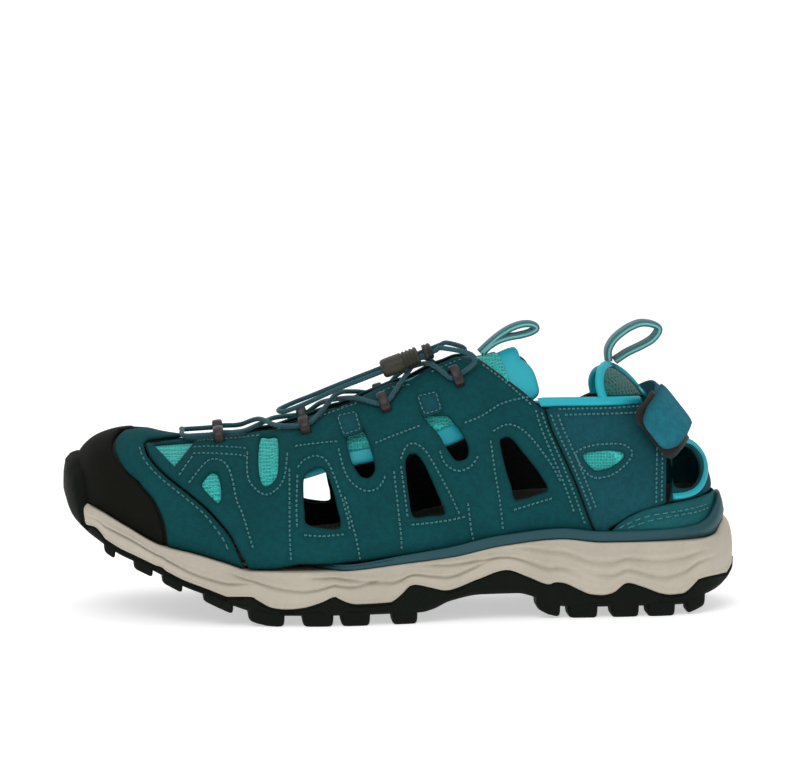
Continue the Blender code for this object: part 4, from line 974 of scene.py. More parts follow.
ends = np.array([0, .12, .35, .8, 1.4, 2.2, 3.2, 4.4, 5.8, 7.5, 9.4])
STEPS = list(-138 + ends) + list(np.linspace(-126, 126, int(210 / FINE))) + list((138 - ends)[::-1])
sole = plan_loop(sole_c, sole_p2, -138, 138, STEPS)
sx = sole[:, 0]
FR = np.clip((-128 - sx) / 5, 0, 1)
RIM, TRD = out_rim(sx), tread(sx)
WALL_IN = -OUT_WALL - 4.8 * FR
ob = stack("outsole_body", sole, [
    (-3.0, tread), (-1.5, lambda x: tread(x) + .25), (-0.5, lambda x: tread(x) + 1.0), (0.0, lambda x: tread(x) + 1.9),
    (0.05, TRD * .75 + RIM * .25 + .4), (-.1 * FR, TRD * .5 + RIM * .5 + .4),
    (.15 - 1.0 * FR, TRD * .2 + RIM * .8), (.15 - 3.0 * FR, RIM - 1.1), (-.1 - 4.2 * FR, RIM - .4),
    (-.8 - 5.0 * FR, RIM), (WALL_IN + .5, RIM), (WALL_IN, RIM - .6), (WALL_IN, out_floor(sx))], M_RUBBER, m=4)
place(ob, "shoe", "rubber_black", "outsole")

LUG_ROWS = [(-121.8, -117), (-110, -102), (-98.8, -90.2), (-82.4, -70), (-64.4, -49.5), (-42.6, -30), (-27.2, -15.2),
            (-6.6, 4.1), (52.5, 62.7), (65.5, 78), (83.2, 95.0), (98, 110), (114.5, 123)]


def lug_mesh(xa, xb, fa, fb, skew=0.0, top_in=0.9):
    """Moulded block: rounded in plan, drawn in toward the ground, following the sole's wall."""
    n = 9
    rings = []
    for z_f, draw in ((0.0, top_in), (0.10, .35), (0.35, .12), (1.0, 0.0)):
        ring = []
        for q in np.linspace(0, 2 * math.pi, 40, endpoint=False):
            c, s = math.cos(q), math.sin(q)
            u = math.copysign(abs(c)**0.28, c)
            v = math.copysign(abs(s)**0.28, s)
            f = (fa + fb) / 2 + v * (fb - fa) / 2
            x = (xa + xb) / 2 + u * ((xb - xa) / 2 - draw) + skew * (f - fa)
            xc = min(max(x, -137), 137)
            w = math.sqrt(max(float(sole_p2(xc)), 0.0))
            edge = 0.0 if abs(f) < 0.9 else 0.35
            y = float(sole_c(xc)) + f * (w + edge) - math.copysign(draw * .8, f) * (1 if abs(v) > .6 and (v > 0) == (f > 0) else 0)
            low, hi = float(lug_z(xc) + spring(xc)), float(tread(xc)) + 1.6
            ring.append((x, y, low + (hi - low) * z_f))
        rings.append(ring)
    m = 40
    verts = [p for r in rings for p in r]
    faces = []
    for k in range(len(rings) - 1):
        for i in range(m):
            j = (i + 1) % m
            faces.append((k * m + i, k * m + j, (k + 1) * m + j, (k + 1) * m + i))
    faces.append(tuple(range(m))[::-1])
    faces.append(tuple((len(rings) - 1) * m + i for i in range(m)))
    return verts, faces


V, F = [], []
for i, (xa, xb) in enumerate(LUG_ROWS):
    blocks = [(xa, xb, -0.985, -0.55, 0.0), (xa, xb, 0.55, 0.985, 0.0)]
    if -112 < xa < 8 or xa > 60:
        blocks += [(xa + 3, xb - .5, -0.38, -0.04, 3.0), (xa + 3, xb - .5, 0.04, 0.38, -3.0)]
    for xa2, xb2, fa, fb, sk in blocks:
        v, f = lug_mesh(xa2, xb2, fa, fb, sk)
        k = len(V)
        V += v
        F += [tuple(a + k for a in g) for g in f]
ob = link("outsole_lugs", V, F, M_RUBBER)
crease(ob, 50)
place(ob, "shoe", "rubber_black")

# midsole: moulded side with flowing grooves
mid_top = side_curve(arr((75, 493), (90, 501), (100, 507.5), (120, 519), (140, 528.5), (160, 540), (167, 543.5), (185, 547.5),
    (200, 551.5), (230, 560.5), (253, 567.5), (300, 567.5), (345, 566.5), (400, 560), (450, 553), (500, 543), (540, 538), (560, 537),
    (575, 537), (610, 540), (670, 540), (700, 537), (710, 533), (717, 527)))


def mid_under(x):
    bump = np.clip((x + 12) / 6, 0, 1) * np.clip((62 - x) / 6, 0, 1)
    return out_floor(x) + .5 + 2.3 * bump + .7 * np.clip((np.abs(x) - 112) / 8, 0, 1)


def mid_low(x):
    return out_rim(x) - 14.6 * np.clip((-131.2 - x) / 3.0, 0, 1)**.6 + .12


def mid_high(x):
    return mid_z(x) + rim_z(x) * np.clip((x - 118) / 8, 0, 1)


GROOVES = [  # long flowing lines: (x, share of the wall's height)
    [(-128, .45), (-112, .60), (-98, .52), (-84, .35), (-72, .42), (-60, .62)],
    [(-76, .80), (-56, .60), (-38, .45), (-22, .52), (-8, .74)],
    [(-46, .86), (-24, .72), (-2, .50), (18, .42), (36, .60)],
    [(2, .88), (24, .72), (44, .50), (60, .34), (74, .30)],
    [(40, .90), (58, .74), (76, .62), (94, .60), (112, .68), (126, .72)],
    [(70, .50), (86, .34), (100, .30), (114, .42), (128, .52)],
]


def relief(x, f):
    r = np.zeros(len(x))
    for g in GROOVES:
        g = np.array(g)
        line = curve(g[:, 0], g[:, 1])
        span = np.clip((x - g[0, 0]) / 10, 0, 1) * np.clip((g[-1, 0] - x) / 10, 0, 1)
        d = (f - line(x)) * 22.0
        r += span * (-1.35 * np.exp(-(d / 1.1)**2) + 0.75 * np.exp(-((d - 2.5) / 1.8)**2))
    return r


midloop = plan_loop(sole_c, sole_p2, -131.3, 137.2, STEPS)
mx = midloop[:, 0]
fr = np.linspace(0, 1, int(34 / FINE))
HEEL_IN = np.clip((mx - 122) / 10, 0, 1)
rings = [(np.full(len(mx), -OUT_WALL - 1.2), mid_under), (np.full(len(mx), -OUT_WALL - 1.2), mid_low), (np.full(len(mx), -0.5), mid_low)]
for f in fr[1:]:
    body = 0.55 * math.sin(math.pi * f) - 1.15 * max(0.0, (f - .62) / .38)**2 + (0.35 if f < .12 else 0.0) * (f / .12)
    fade = min(1.0, f / .08) * min(1.0, (1 - f) / .1)
    body = body - 2.5 * HEEL_IN * max(0.0, (f - .3) / .7)**1.6
    rings.append((body + relief(mx, np.full(len(mx), f)) * fade, (lambda ff: (lambda x: mid_low(x) * (1 - ff) + mid_high(x) * ff))(f)))
rings += [(-1.9 - 2.3 * HEEL_IN, lambda x: mid_high(x) + .05), (-2.6 - 2.2 * HEEL_IN, mid_high), (-3.6 - 2.0 * HEEL_IN, mid_z)]
ob = stack("midsole_body", midloop, rings, M_FOAM, m=3)
me = ob.data
place(ob, "shoe", "foam_beige", "midsole")

lastp = lambda x: last_p2(x) * (1 - np.clip((x - HEEL_X0) / (126 - HEEL_X0), 0, 1)**HEEL_N)
lastloop = plan_loop(last_c, lastp, TOE_X, 126, 130)


def bed_edge(x):
    return bed_z(x) + 1.2 + 3.6 * np.clip((x - 5) / 40, 0, 1) + 2.5 * np.clip((x - 95) / 25, 0, 1)


def bed_top(x, f):
    return bed_z(x) + (bed_edge(x) - bed_z(x)) * np.abs(f)**2.5


ob = stack("footbed_pad", lastloop, [(-1.9, lambda x: foot_z(x) + 1.75), (-1.3, lambda x: foot_z(x) * .9 + bed_edge(x) * .1 + 1.6),
    (-1.1, lambda x: (foot_z(x) + 1.75) * .5 + bed_edge(x) * .5), (-1.2, lambda x: bed_edge(x) - .5), (-1.7, bed_edge)], M_BED, hi=bed_top, m=16)
place(ob, "footbed", "bed_brown", "footbed")

# rand: smooth band between the suede and the midsole
fl = plan_loop(last_c, lambda x: lastp(x) * np.sqrt(np.clip((x + 36) / 12.0, 0, 1)), -36, 126, 150)
W0, W9 = FRAME_WALL
top = lambda x: mid_z(x) + frame_z(x)
HB = np.clip((fl[:, 0] - 108) / 14, 0, 1)
ob = stack("rand", fl, [(W9 - .4 + .3 * HB, lambda x: mid_z(x) + .3), (W9 - .05 + .9 * HB, lambda x: mid_z(x) + .9),
    (W9 + 1.9 * HB, lambda x: mid_z(x) + frame_z(x) * .3 + .4), (W9 + 2.3 * HB, lambda x: mid_z(x) + frame_z(x) * .52 + .2),
    (W9 + 1.6 * HB, lambda x: mid_z(x) + frame_z(x) * .76), (W9 + .5 * HB, lambda x: top(x) - .8), (W9 - .12 + .2 * HB, lambda x: top(x) - .35),
    (W9 - .45, lambda x: top(x) - .05), (W9 - .8, top), (W0, top), (W0, lambda x: mid_z(x) + 2.0)], M_RAND, m=3)
place(ob, "shoe", "frame_teal", "foot_frame")

# ================================================================ toe
rear = over_from_sheet(spline(TOE_REAR, 4))
order = np.argsort(rear[:, 1])
ra = rear[order]
keep = [0] + [i for i in range(1, len(ra)) if ra[i, 1] > ra[i - 1, 1] + 0.05]
ra = ra[keep]
rear_x = curve(np.append(np.append([-25 * math.pi / 2 - .2], ra[:, 1]), [0.0]), np.append(np.append([ra[0, 0]], ra[:, 0]), [rear[0, 0] + .4]))


def toe_shell(name, shift, layer, mat, nt, nx, bulge):
    th = np.linspace(-math.pi / 2, math.pi / 2, nt)
    verts, faces = [], []
    ww = 1 - np.cos(math.pi / 2 * np.linspace(0, 1, nx))
    for side in (0, 1):
        for i in range(nx):
            xr = rear_x(-np.abs(th) * 25) + shift
            x = TOE_X + (xr - TOE_X) * ww[i]
            if i == 0:
                p = np.tile([TOE_X, float(last_c(TOE_X)), float(foot_z(TOE_X))], (nt, 1))
                n = np.tile([-1.0, 0, 0], (nt, 1))
            else:
                p, n = over(np.stack([x, th * 25], 1))
                near = (x < TOE_X + 2.5)
                n = np.where(near[:, None], n + np.array([-0.2, 0, 0]), n)
                n /= np.linalg.norm(n, axis=1, keepdims=True)
            foot = np.abs(np.abs(th) - math.pi / 2) < 1e-6
            flat = foot | (i == 0)
            n = np.where(flat[:, None], n * np.array([1, 1, 0]), n)
            n /= np.maximum(np.linalg.norm(n, axis=1, keepdims=True), 1e-9)
            h = layer[side]
            if side:
                back = np.clip((1 - ww[i]) * (xr - TOE_X) / 1.6, 0, 1)
                h = layer[1] + bulge - (bulge + .35) * (1 - np.sqrt(1 - (1 - back)**2))
            q = p + n * (h[:, None] if not np.isscalar(h) else h)
            q[:, 2] = np.where(flat, foot_z(q[:, 0]), q[:, 2])
            verts += list(q)
    k = nx * nt
    for i in range(nx - 1):
        for j in range(nt - 1):
            q = (i * nt + j, i * nt + j + 1, (i + 1) * nt + j + 1, (i + 1) * nt + j)
            faces.append(q)
            faces.append(tuple(v + k for v in q[::-1]))
    for j in range(nt - 1):
        a, b = (nx - 1) * nt + j, (nx - 1) * nt + j + 1
        faces.append((a, b, b + k, a + k))
    for i in range(nx - 1):
        for j in (0, nt - 1):
            a, b = i * nt + j, (i + 1) * nt + j
            q = (a, b, b + k, a + k)
            faces.append(q if j else q[::-1])
    return link(name, verts, faces, mat)


place(toe_shell("toe_cap_rubber", -0.2, UPPER, M_TOE, int(96 / FINE), int(40 / FINE), 0.55), "shoe", "rubber_black", "toe_cap")
place(toe_shell("toe_puff_shell", 1.4, LINING, M_LINING, 41, 14, 0.0), "shoe", "stiffener", "toe_puff")

# ================================================================ vamp
TOE_S, SEAM_S = spline(TOE_REAR[1:] + np.array([2.6, 0.3]), 3), spline(SEAM[::-1], 3)
vamp_side = over_from_sheet(TOE_S)
bot = float(vamp_side[-1, 0])
foot_a = np.array([[x, -25 * math.pi / 2] for x in np.linspace(bot + .3, -65.5, 16)])
vamp_half = np.vstack([[[rear[0, 0] + 1.2, 0.0]], vamp_side, foot_a, over_from_sheet(SEAM_S),
                       over_from_sheet(arr((150, 443), (168, 441), (186, 438.5))), [[-87.4, 0.0]]])
vs_rows = [arr((146, 440), (157, 460), (170, 470), (203, 497), (222, 513), (235, 523), (243, 540))]
row_a = over_from_sheet(spline(arr((142, 450), (148, 462), (160, 475), (177, 488), (192, 499), (207, 511), (218, 523), (228, 536), (233, 547)), 4))
row_m = row_a * np.array([1, -1])
vamp_ob, vamp_face = sheet("vamp_suede", both_sides(vamp_half, 1), [], over, UPPER, M_SUEDE, cell=1.25, unit=0.42, puff=.35,
                           seams=[row_a, row_m], roundness=.45)
place(vamp_ob, "shoe", "suede_teal", "vamp")
stitches("vamp_stitching", [row_a, row_m], over, lambda q: vamp_face(q) + .12, M_THREAD, pitch=1.9)
ob, _ = sheet("vamp_lining_cloth", both_sides(np.vstack([[[-106.6, 0.0]], vamp_half[1:-1], [[-87.8, 0.0]]]), 1), [], over, LINING, M_LINING,
              cell=3.6, unit=.42, roundness=.1)
place(ob, "shoe", "lining_black", "vamp_lining")

# ================================================================ sides
front_x, seam_x = -63.6, 77.0
def seen(pts, h=2.5):
    """Shift outline points so that the raised face, not the last, shows at the wanted place."""
    q = np.array(pts, float)
    for _ in range(4):
        p = on_last(q)
        n = normals(p)
        w = p + n * h
        c, r = to_sheet(w[:, 0], w[:, 1], w[:, 2])
        q = q + (pts - np.stack([c, r], 1)) * .7
    return q


EYE_S, BACK_S, QS = spline(EYESTAY, 4), spline(BACK_EDGE, 3), spline(QSEAM, 4)
BACK_S = BACK_S * .35 + seen(BACK_S + np.array([-1.0, 1.0])) * .65
tail = np.clip((EYE_S[:, :1] - 436) / 30, 0, 1)
EYE_S = EYE_S * (1 - tail) + (EYE_S * .3 + seen(EYE_S) * .7) * tail
chassis = np.vstack([foot_line(seam_x, front_x, 2.0), (spline(SEAM, 3) + np.array([1.6, -1.2]))[::-1],
                     arr((152, 446.2), (170, 444.3), (188, 442.2)), EYE_S, BACK_S, QS[:-1]])
COLLAR = arr((552, 405.5), (575, 404.5), (600, 404.5), (638, 405), (645, 414), (653, 430), (659, 443), (662, 456))
QUARTER_REAR = arr((662, 503), (650, 507), (630, 513), (607, 526))
quarter = np.vstack([QS[::-1] + np.array([1.5, 0]), COLLAR, QUARTER_REAR, foot_line(82.5, seam_x + .8, 2)])
sidelining = np.vstack([foot_line(82.5, front_x, 4), (SEAM + np.array([1.6, -1.2]))[::-1], arr((152, 446.2), (170, 444.3), (188, 442.2)),
                        EYESTAY, BACK_EDGE, arr((543, 406), (552, 405.5), (575, 404.5), (600, 404.5), (614, 406), (628, 418), (641, 433),
                                                    (652, 447), (659, 460)), QUARTER_REAR])
dip = curve([480, 500, 520, 534, 545, 562, 578, 590, 600, 612, 700], [0, 1.5, 7, 15, 17.5, 17.5, 15, 9, 3, 0, 0])


def dipped(loop):
    out = np.array(loop, float)
    top = np.clip((434 - out[:, 1]) / 26, 0, 1)
    out[:, 1] += dip(out[:, 0]) * top * (out[:, 0] > 481)
    return out


win = {k: smooth_loop(w, 5) for k, w in dict(W1=W1, W2=W2, W3=W3, W4=W4, W5=W5, W6=W6, W7=W7, W8=W8).items()}
tri_in = np.vstack([refine(TRI, 5)])
MESHED, OPENW = (TRI, W1, W2, W8), (W3, W4, W5, W6, W7)

ROWS_UP = [
    arr((183, 478), (190, 468), (196, 460)), arr((195, 458), (222, 458), (250, 460)), arr((195, 452), (222, 451.5), (250, 453)),
    arr((193, 485), (205, 470), (215, 463), (228, 466), (235, 480), (240, 500), (247, 515), (257, 545)),
    arr((251, 455), (251, 475), (256, 487), (268, 495), (280, 490), (288, 478), (291, 455)),
    arr((293, 470), (293, 500), (293, 530), (294, 556)), arr((300, 475), (299.5, 500), (300, 525)),
    arr((300, 470), (306, 463), (318, 458), (328, 462), (335, 475), (342, 495), (348, 515), (350, 527)),
    arr((306, 532), (325, 533), (345, 531)), arr((345, 495), (352, 520), (357, 540), (360, 556)),
    arr((297, 450), (318, 447), (340, 444)), arr((375, 445), (400, 435), (420, 427)),
    arr((340, 450), (345, 470), (352, 482), (365, 490), (378, 487), (385, 475)),
    arr((393, 470), (396, 500), (399, 530), (400, 546)), arr((400, 465), (403, 490), (406, 515)),
    arr((400, 460), (405, 448), (413, 444), (422, 449), (430, 460), (440, 478), (450, 497), (457, 512)),
    arr((409, 522), (430, 520), (450, 517), (463, 514)), arr((465, 500), (468, 525), (471, 538)),
    arr((438, 450), (443, 463), (455, 470), (468, 466), (476, 455)), arr((488, 440), (492, 470), (497, 500), (500, 527)),
    arr((490, 432), (505, 425), (520, 430), (535, 445), (550, 465), (558, 480)), arr((510, 508), (530, 502), (550, 496)),
    arr((462, 424), (480, 417), (500, 405), (528, 398)), arr((540, 412), (546, 430), (557, 456), (569, 486), (577, 508), (582, 522)),
    arr((534, 410), (540, 430), (551, 457), (563, 487), (571, 510)), arr((481, 368), (497, 379), (516, 394), (530, 406)),
    arr((199, 446), (216, 445), (240, 443), (262, 440)), arr((300, 430), (318, 423), (340, 415), (360, 407.5)),
    arr((380, 398.5), (397, 391.5), (412, 389)), arr((432, 377), (447, 370), (462, 364)),
]
ROWS_Q = [
    arr((549, 414), (556, 432), (568, 459), (580, 488), (588, 508)), arr((556, 414), (562, 431), (575, 460), (586, 488), (593, 506)),
    arr((556, 409.5), (580, 408.5), (605, 408.5), (634, 409)), arr((562, 415), (585, 414), (610, 414), (636, 415)),
    arr((572, 452), (580, 447), (592, 444), (605, 443), (619, 444), (628, 452), (623, 462), (611, 472), (599, 476), (588, 475), (578, 465), (572, 452)),
    arr((657, 452), (657, 478), (657, 500)), arr((651.5, 448), (651.5, 478), (651.5, 502)),
]
ROWS_UP = [spline(r, 4) for r in ROWS_UP]
ROWS_Q = [spline(r, 4) for r in ROWS_Q]

for side, lift in (("lateral", lateral), ("medial", medial)):
    fit = dipped if side == "medial" else np.array
    rows_up, rows_q = [fit(r) for r in ROWS_UP], [fit(r) for r in ROWS_Q]
    ob, face = sheet("straps_" + side, fit(chassis), [tri_in] + [win[k] for k in ("W1", "W2", "W3", "W4", "W5", "W6", "W7")], lift, UPPER,
                     M_SUEDE, cell=2.7, seams=rows_up, puff=.75, puff_w=8, roundness=.7)
    place(ob, "shoe", "suede_teal", "upper_" + side)
    stitches("strap_stitching_" + side, rows_up, lift, lambda q, f=face: f(q) + .14, M_THREAD, pitch=4.3, radius=.34)
    ob, face = sheet("quarter_suede_" + side, fit(quarter), [win["W8"]], lift, UPPER, M_SUEDE2, cell=2.7, seams=rows_q, puff=.9, puff_w=10,
                     roundness=.6)
    place(ob, "shoe", "suede_blue", "quarter_" + side)
    stitches("quarter_stitching_" + side, rows_q, lift, lambda q, f=face: f(q) + .14, M_THREAD, pitch=4.3, radius=.34, slot="suede_blue")
    ob, _ = sheet("lining_cloth_" + side, fit(sidelining), [scaled(w, 2.5) for w in OPENW if side == "lateral" or (w is not W5 and w is not W7)] +
                  [scaled(w, 5.5) for w in MESHED], lift, LINING,
                  M_LINING, cell=6, roundness=.1)
    place(ob, "shoe", "lining_black", "lining_" + side)
    for nm, w in zip(("vamp_mesh_", "toe_vent_mesh_", "instep_mesh_", "quarter_mesh_"), MESHED):
        ob, _ = sheet(nm + "knit_" + side, scaled(w, 4.2), [], lift, (LINING[0], 1.0), M_MESH, cell=2.6, puff=.55, puff_w=6, roundness=.2)
        place(ob, "shoe", "mesh_turquoise", nm + side)

# ================================================================ heel
heel_edge = arr((664.5, 501), (664.5, 455), (661, 442), (655, 428), (647.5, 412), (641.5, 400), (620, 399), (601, 397), (596, 388),
                (594.5, 378), (598, 371))
heel_half = heel_from_sheet(np.vstack([heel_edge[:5], spline(heel_edge[4:], 3)[1:]]))
heel_half = np.vstack([[[0.0, 49.0]], heel_from_sheet(arr((699, 493.5), (686, 498.5))), heel_half, [[heel_half[-1, 0] * .5, 97.5]], [[0.0, 97.5]]])
HOLE = arr((668.5, 456), (676, 449), (686, 450), (692, 457), (695.5, 465), (695.5, 475), (692, 482), (686, 487), (674, 487), (669, 483), (667.5, 470))
hole = heel_from_sheet(smooth_loop(HOLE, 4))
sling = np.array(both_sides(heel_half, 0), float)
sling[:, 1] -= 8.0 * np.clip((sling[:, 1] - 82) / 10, 0, 1) * np.clip(sling[:, 0] / 9, 0, 1)
ob, sling_face = sheet("heel_sling_suede", sling, [hole], round_heel, UPPER, M_SUEDE, cell=1.3, unit=.42, puff=.4,
                       roundness=.4)
place(ob, "shoe", "suede_teal", "heel_sling")
for sg in (1, -1):
    if sg > 0:
        arc = heel_from_sheet(spline(arr((670, 443), (678, 444.5), (687, 447.5), (694.5, 454), (699, 463), (699.5, 474), (696, 484), (689, 490.5),
                                         (679, 494), (668, 495)), 4))
        p, n = round_heel(arc)
        ob = sweep("pillar_ring_lateral", p + n * (UPPER[1] - .2), oval(1.75, 1.35, 16), M_TURQ, up=n)
        place(ob, "shoe", "smooth_turquoise")
    # rolled rim of the ear and its lining field
    drop = np.array([7.0, 12.0]) if sg < 0 else np.zeros(2)
    rim = drop + spline(arr((601, 403), (597.5, 393), (595.5, 383), (597, 374), (603, 368.8), (612, 371), (622, 377.5), (632, 388), (640, 399)), 5)
    q = on_last(rim)
    if sg < 0:
        q[:, 1] = 2 * last_c(q[:, 0]) - q[:, 1]
    n = normals(q)
    ob = sweep("ear_rim_%s" % ("lateral" if sg > 0 else "medial"), q + n * 1.9, oval(1.5, 1.9, 14), M_TURQ, up=n)
    place(ob, "shoe", "smooth_turquoise")
    field2 = arr((598, 376), (604, 372), (612, 375), (620, 381), (629, 390), (636, 399), (618, 398), (602, 396), (597.5, 388)) + drop
    lift = lateral if sg > 0 else medial
    ob, _ = sheet("ear_lining_%s" % ("lateral" if sg > 0 else "medial"), field2, [], lift, (2.2, 3.0), M_EARMESH, cell=2.6, puff=.3, roundness=.3)
    place(ob, "shoe", "smooth_turquoise")

al_p = -math.acos(((84 - HEEL_X0) / (126 - HEEL_X0))**(HEEL_N / 2)) * 25
ptop = heel_from_sheet(spline(arr((608, 528.5), (620, 518), (640, 508), (665, 502), (685, 498), (698, 494)), 3))
patch = np.vstack([[[0.0, float(foot_z(120)) + .3]], [(a, float(foot_z(120)) + .3) for a in np.linspace(0, al_p, 22)[1:]], ptop, [[0.0, 47.5]]])
prow = [heel_from_sheet(spline(arr((614, 526.5), (624, 521), (642, 514), (666, 510), (686, 506.5), (698, 503)), 4)),
        heel_from_sheet(spline(arr((622, 526), (644, 518.5), (666, 514), (688, 510.5), (700, 507)), 4))]
prow += [r * np.array([-1, 1]) for r in prow]
ob, face = sheet("heel_patch_suede", both_sides(patch, 0), [], round_heel, OVERLAY, M_PATCH, cell=1.3, unit=.42, puff=.35, seams=prow, roundness=.5)
place(ob, "shoe", "suede_teal", "heel_patch")
stitches("heel_patch_stitching", prow, round_heel, lambda q, f=face: f(q) + .12, M_THREAD, pitch=1.9)

# collar rolls
roll_line = spline(arr((538, 401.6), (541, 400.8), (552, 400.4), (565, 400), (580, 399.8), (600, 399.8), (618, 400.2), (634, 401)), 4)
for side in ("lateral", "medial"):
    line = roll_line if side == "lateral" else roll_line[roll_line[:, 0] < 580]
    shift = dip(line[:, 0]) if side == "medial" else np.zeros(len(line))
    q = on_last(line + np.stack([np.zeros(len(shift)), shift + 4.0], 1))
    if side == "medial":
        q[:, 1] = 2 * last_c(q[:, 0]) - q[:, 1]
    n = normals(q)
    ob = sweep("collar_padding_" + side, q + n * 1.8 + np.array([0, 0, .9]), oval(1.9, 1.6, 16), M_TURQ, up=(0, 0, 1))
    place(ob, "shoe", "smooth_turquoise", "collar_roll_" + side)

# ================================================================ tongue
def proud(pts):
    p, n = over(pts)
    t = np.clip((np.asarray(pts)[:, 0] - 33) / 13, 0, 1)
    return p + n * (2.3 * t * t * (3 - 2 * t))[:, None], n


tongue_half = over_from_sheet(spline(arr((205, 462), (235, 472), (270, 480), (300, 474), (335, 464), (362, 459), (400, 452), (440, 446),
                                  (470, 434), (500, 420), (530, 400), (537, 392), (535.5, 381), (531.5, 369), (525.8, 361.5), (519, 356.6)), 3))
tongue_half = np.vstack([[[-84.0, 0.0]], [[-83.5, -12.0]], tongue_half, [[46.9, 0.0]]])
ob, _ = sheet("tongue_padding", both_sides(tongue_half, 1), [], proud, TONGUE, M_TURQ, cell=1.5, unit=.42, puff=.7, puff_w=6, roundness=.9)
place(ob, "tongue", "smooth_turquoise", "tongue")
face_half = over_from_sheet(spline(arr((215, 455), (240, 462), (270, 466), (300, 460), (335, 450), (362, 446), (400, 438), (440, 428),
                                (470, 412), (495, 396), (508, 384), (505, 372)), 3))
face_half = np.vstack([[[-80.0, 0.0]], [[-79.5, -12.0]], face_half, [[38.0, 0.0]]])
ob, _ = sheet("tongue_knit", both_sides(face_half, 1), [], proud, TONGUE_FACE, M_MESH, cell=1.5, unit=.42, puff=.5, puff_w=8, roundness=.6)
place(ob, "tongue", "mesh_turquoise", "tongue_mesh")


# ================================================================ pull loops, strap
def ribbon(name, line, y, half_w, half_t, body, node, dz, dx=0.0):
    x, _y, z = sight(line[:, 0], line[:, 1], 0.0)
    path = np.stack([x + dx, np.full(len(x), float(y)), z + dz], 1)
    sec = oval(half_w, half_t, 24, power=4.5)
    stripe = [1.0 if abs(b) < half_t * .3 else 0.0 for a, b in sec]
    ob = sweep(name, path, sec, M_WEB, up=(0, 1, 0), attrs={"stripe": stripe})
    place(ob, body, "webbing", node)


ribbon("tongue_loop_ribbon", spline(arr((479, 357), (489, 347.5), (499, 339.3), (509, 333), (519, 329.2), (528, 328.2), (534.5, 330.3),
       (534.6, 333.6), (528, 337.2), (518, 339.8), (507, 341.8), (497, 345.2), (488, 350.8), (482, 357)), 5), -2.8, 4.0, 1.35,
       "tongue_loop", "tongue_pull_loop", 2.2)
ribbon("heel_loop_ribbon", spline(arr((607, 364), (606.4, 354), (610, 345.5), (617, 338), (627, 331), (638, 326.5), (648, 326.8), (656, 330),
       (656.3, 335), (650, 342.8), (639, 349.2), (625, 356), (613, 364)), 5), 0.0, 5.0, 1.4, "heel_loop", "heel_pull_loop", 1.5, .8)

W_DIR = np.array([.62, 0, -.785])
half = [(99.8, -30.4, 71.6), (102.2, -30.0, 74.0), (104.8, -27.6, 76.5), (107.6, -22.4, 79.2), (109.9, -14.5, 81.5), (111.1, -7.0, 82.6),
        (111.4, 0.0, 82.9)]
ring = spline(np.array(half + [(x, -y, z) for x, y, z in half[-2::-1]]), 6)
lat = spline(np.array(half[:5]), 8)


def strap(name, path, width, layer, mat, body, slot, node, shift=0.0, round_end=(0, 0), n=13):
    """Flat woven strap with soft edges and rounded ends."""
    path = np.array(path, float)
    w = W_DIR / np.linalg.norm(W_DIR)
    t = np.gradient(path, axis=0)
    t /= np.linalg.norm(t, axis=1, keepdims=True)
    nn = np.cross(w, t)
    nn /= np.linalg.norm(nn, axis=1, keepdims=True)
    if np.mean(np.sum(nn * (path - np.array([95, 0, 65])), axis=1)) < 0:
        nn = -nn
    s = np.concatenate([[0], np.cumsum(np.linalg.norm(np.diff(path, axis=0), axis=1))])
    verts, faces, edge = [], [], []
    m = 2 * n
    for i, (p, q) in enumerate(zip(path, nn)):
        h = width / 2
        for d, r in ((s[i], round_end[0]), (s[-1] - s[i], round_end[1])):
            if r and d < r:
                h = min(h, width / 2 - r + math.sqrt(max(r * r - (r - d)**2, 0.01)))
        for k in range(m):
            f = (k / (n - 1) if k < n else (m - 1 - k) / (n - 1)) * 2 - 1
            lift = layer[1] - (.45 * (layer[1] - layer[0])) * abs(f)**6 if k < n else layer[0]
            verts.append(p + w * (f * h + shift) + q * lift)
            # edge: nearness to the strap's long edges, used by the material as painted shade
            edge.append(abs(f)**8)
    for i in range(len(path) - 1):
        for k in range(m):
            l = (k + 1) % m
            faces.append((m * i + k, m * i + l, m * i + m + l, m * i + m + k))
    faces.append(tuple(range(m))[::-1])
    faces.append(tuple(m * (len(path) - 1) + k for k in range(m)))
    ob = link(name, verts, faces, mat, attrs={"edge": edge, "seam": [0.0] * len(edge)})
    return place(ob, body, slot, *([node] if node else []))


strap("heel_strap_knit", ring[3:], 22.0, (0.0, 1.5), M_KNIT, "shoe", "suede_teal", "heel_strap")
strap("loop_fastener", lat[0:26], 25.0, (1.6, 2.3), M_HOOK, "shoe", "lining_black", "strap_loop_patch", shift=-.8, round_end=(4, 0))
strap("hook_fastener", lat[5:24], 17.0, (2.6, 3.1), M_HOOK, "strap_tab", "lining_black", "strap_hook_patch", shift=-.6, round_end=(3, 0))
strap("strap_tab_knit", lat[3:], 20.5, (3.3, 4.9), M_KNIT, "strap_tab", "suede_blue", "heel_strap_tab", shift=-1.2, round_end=(6, 0))

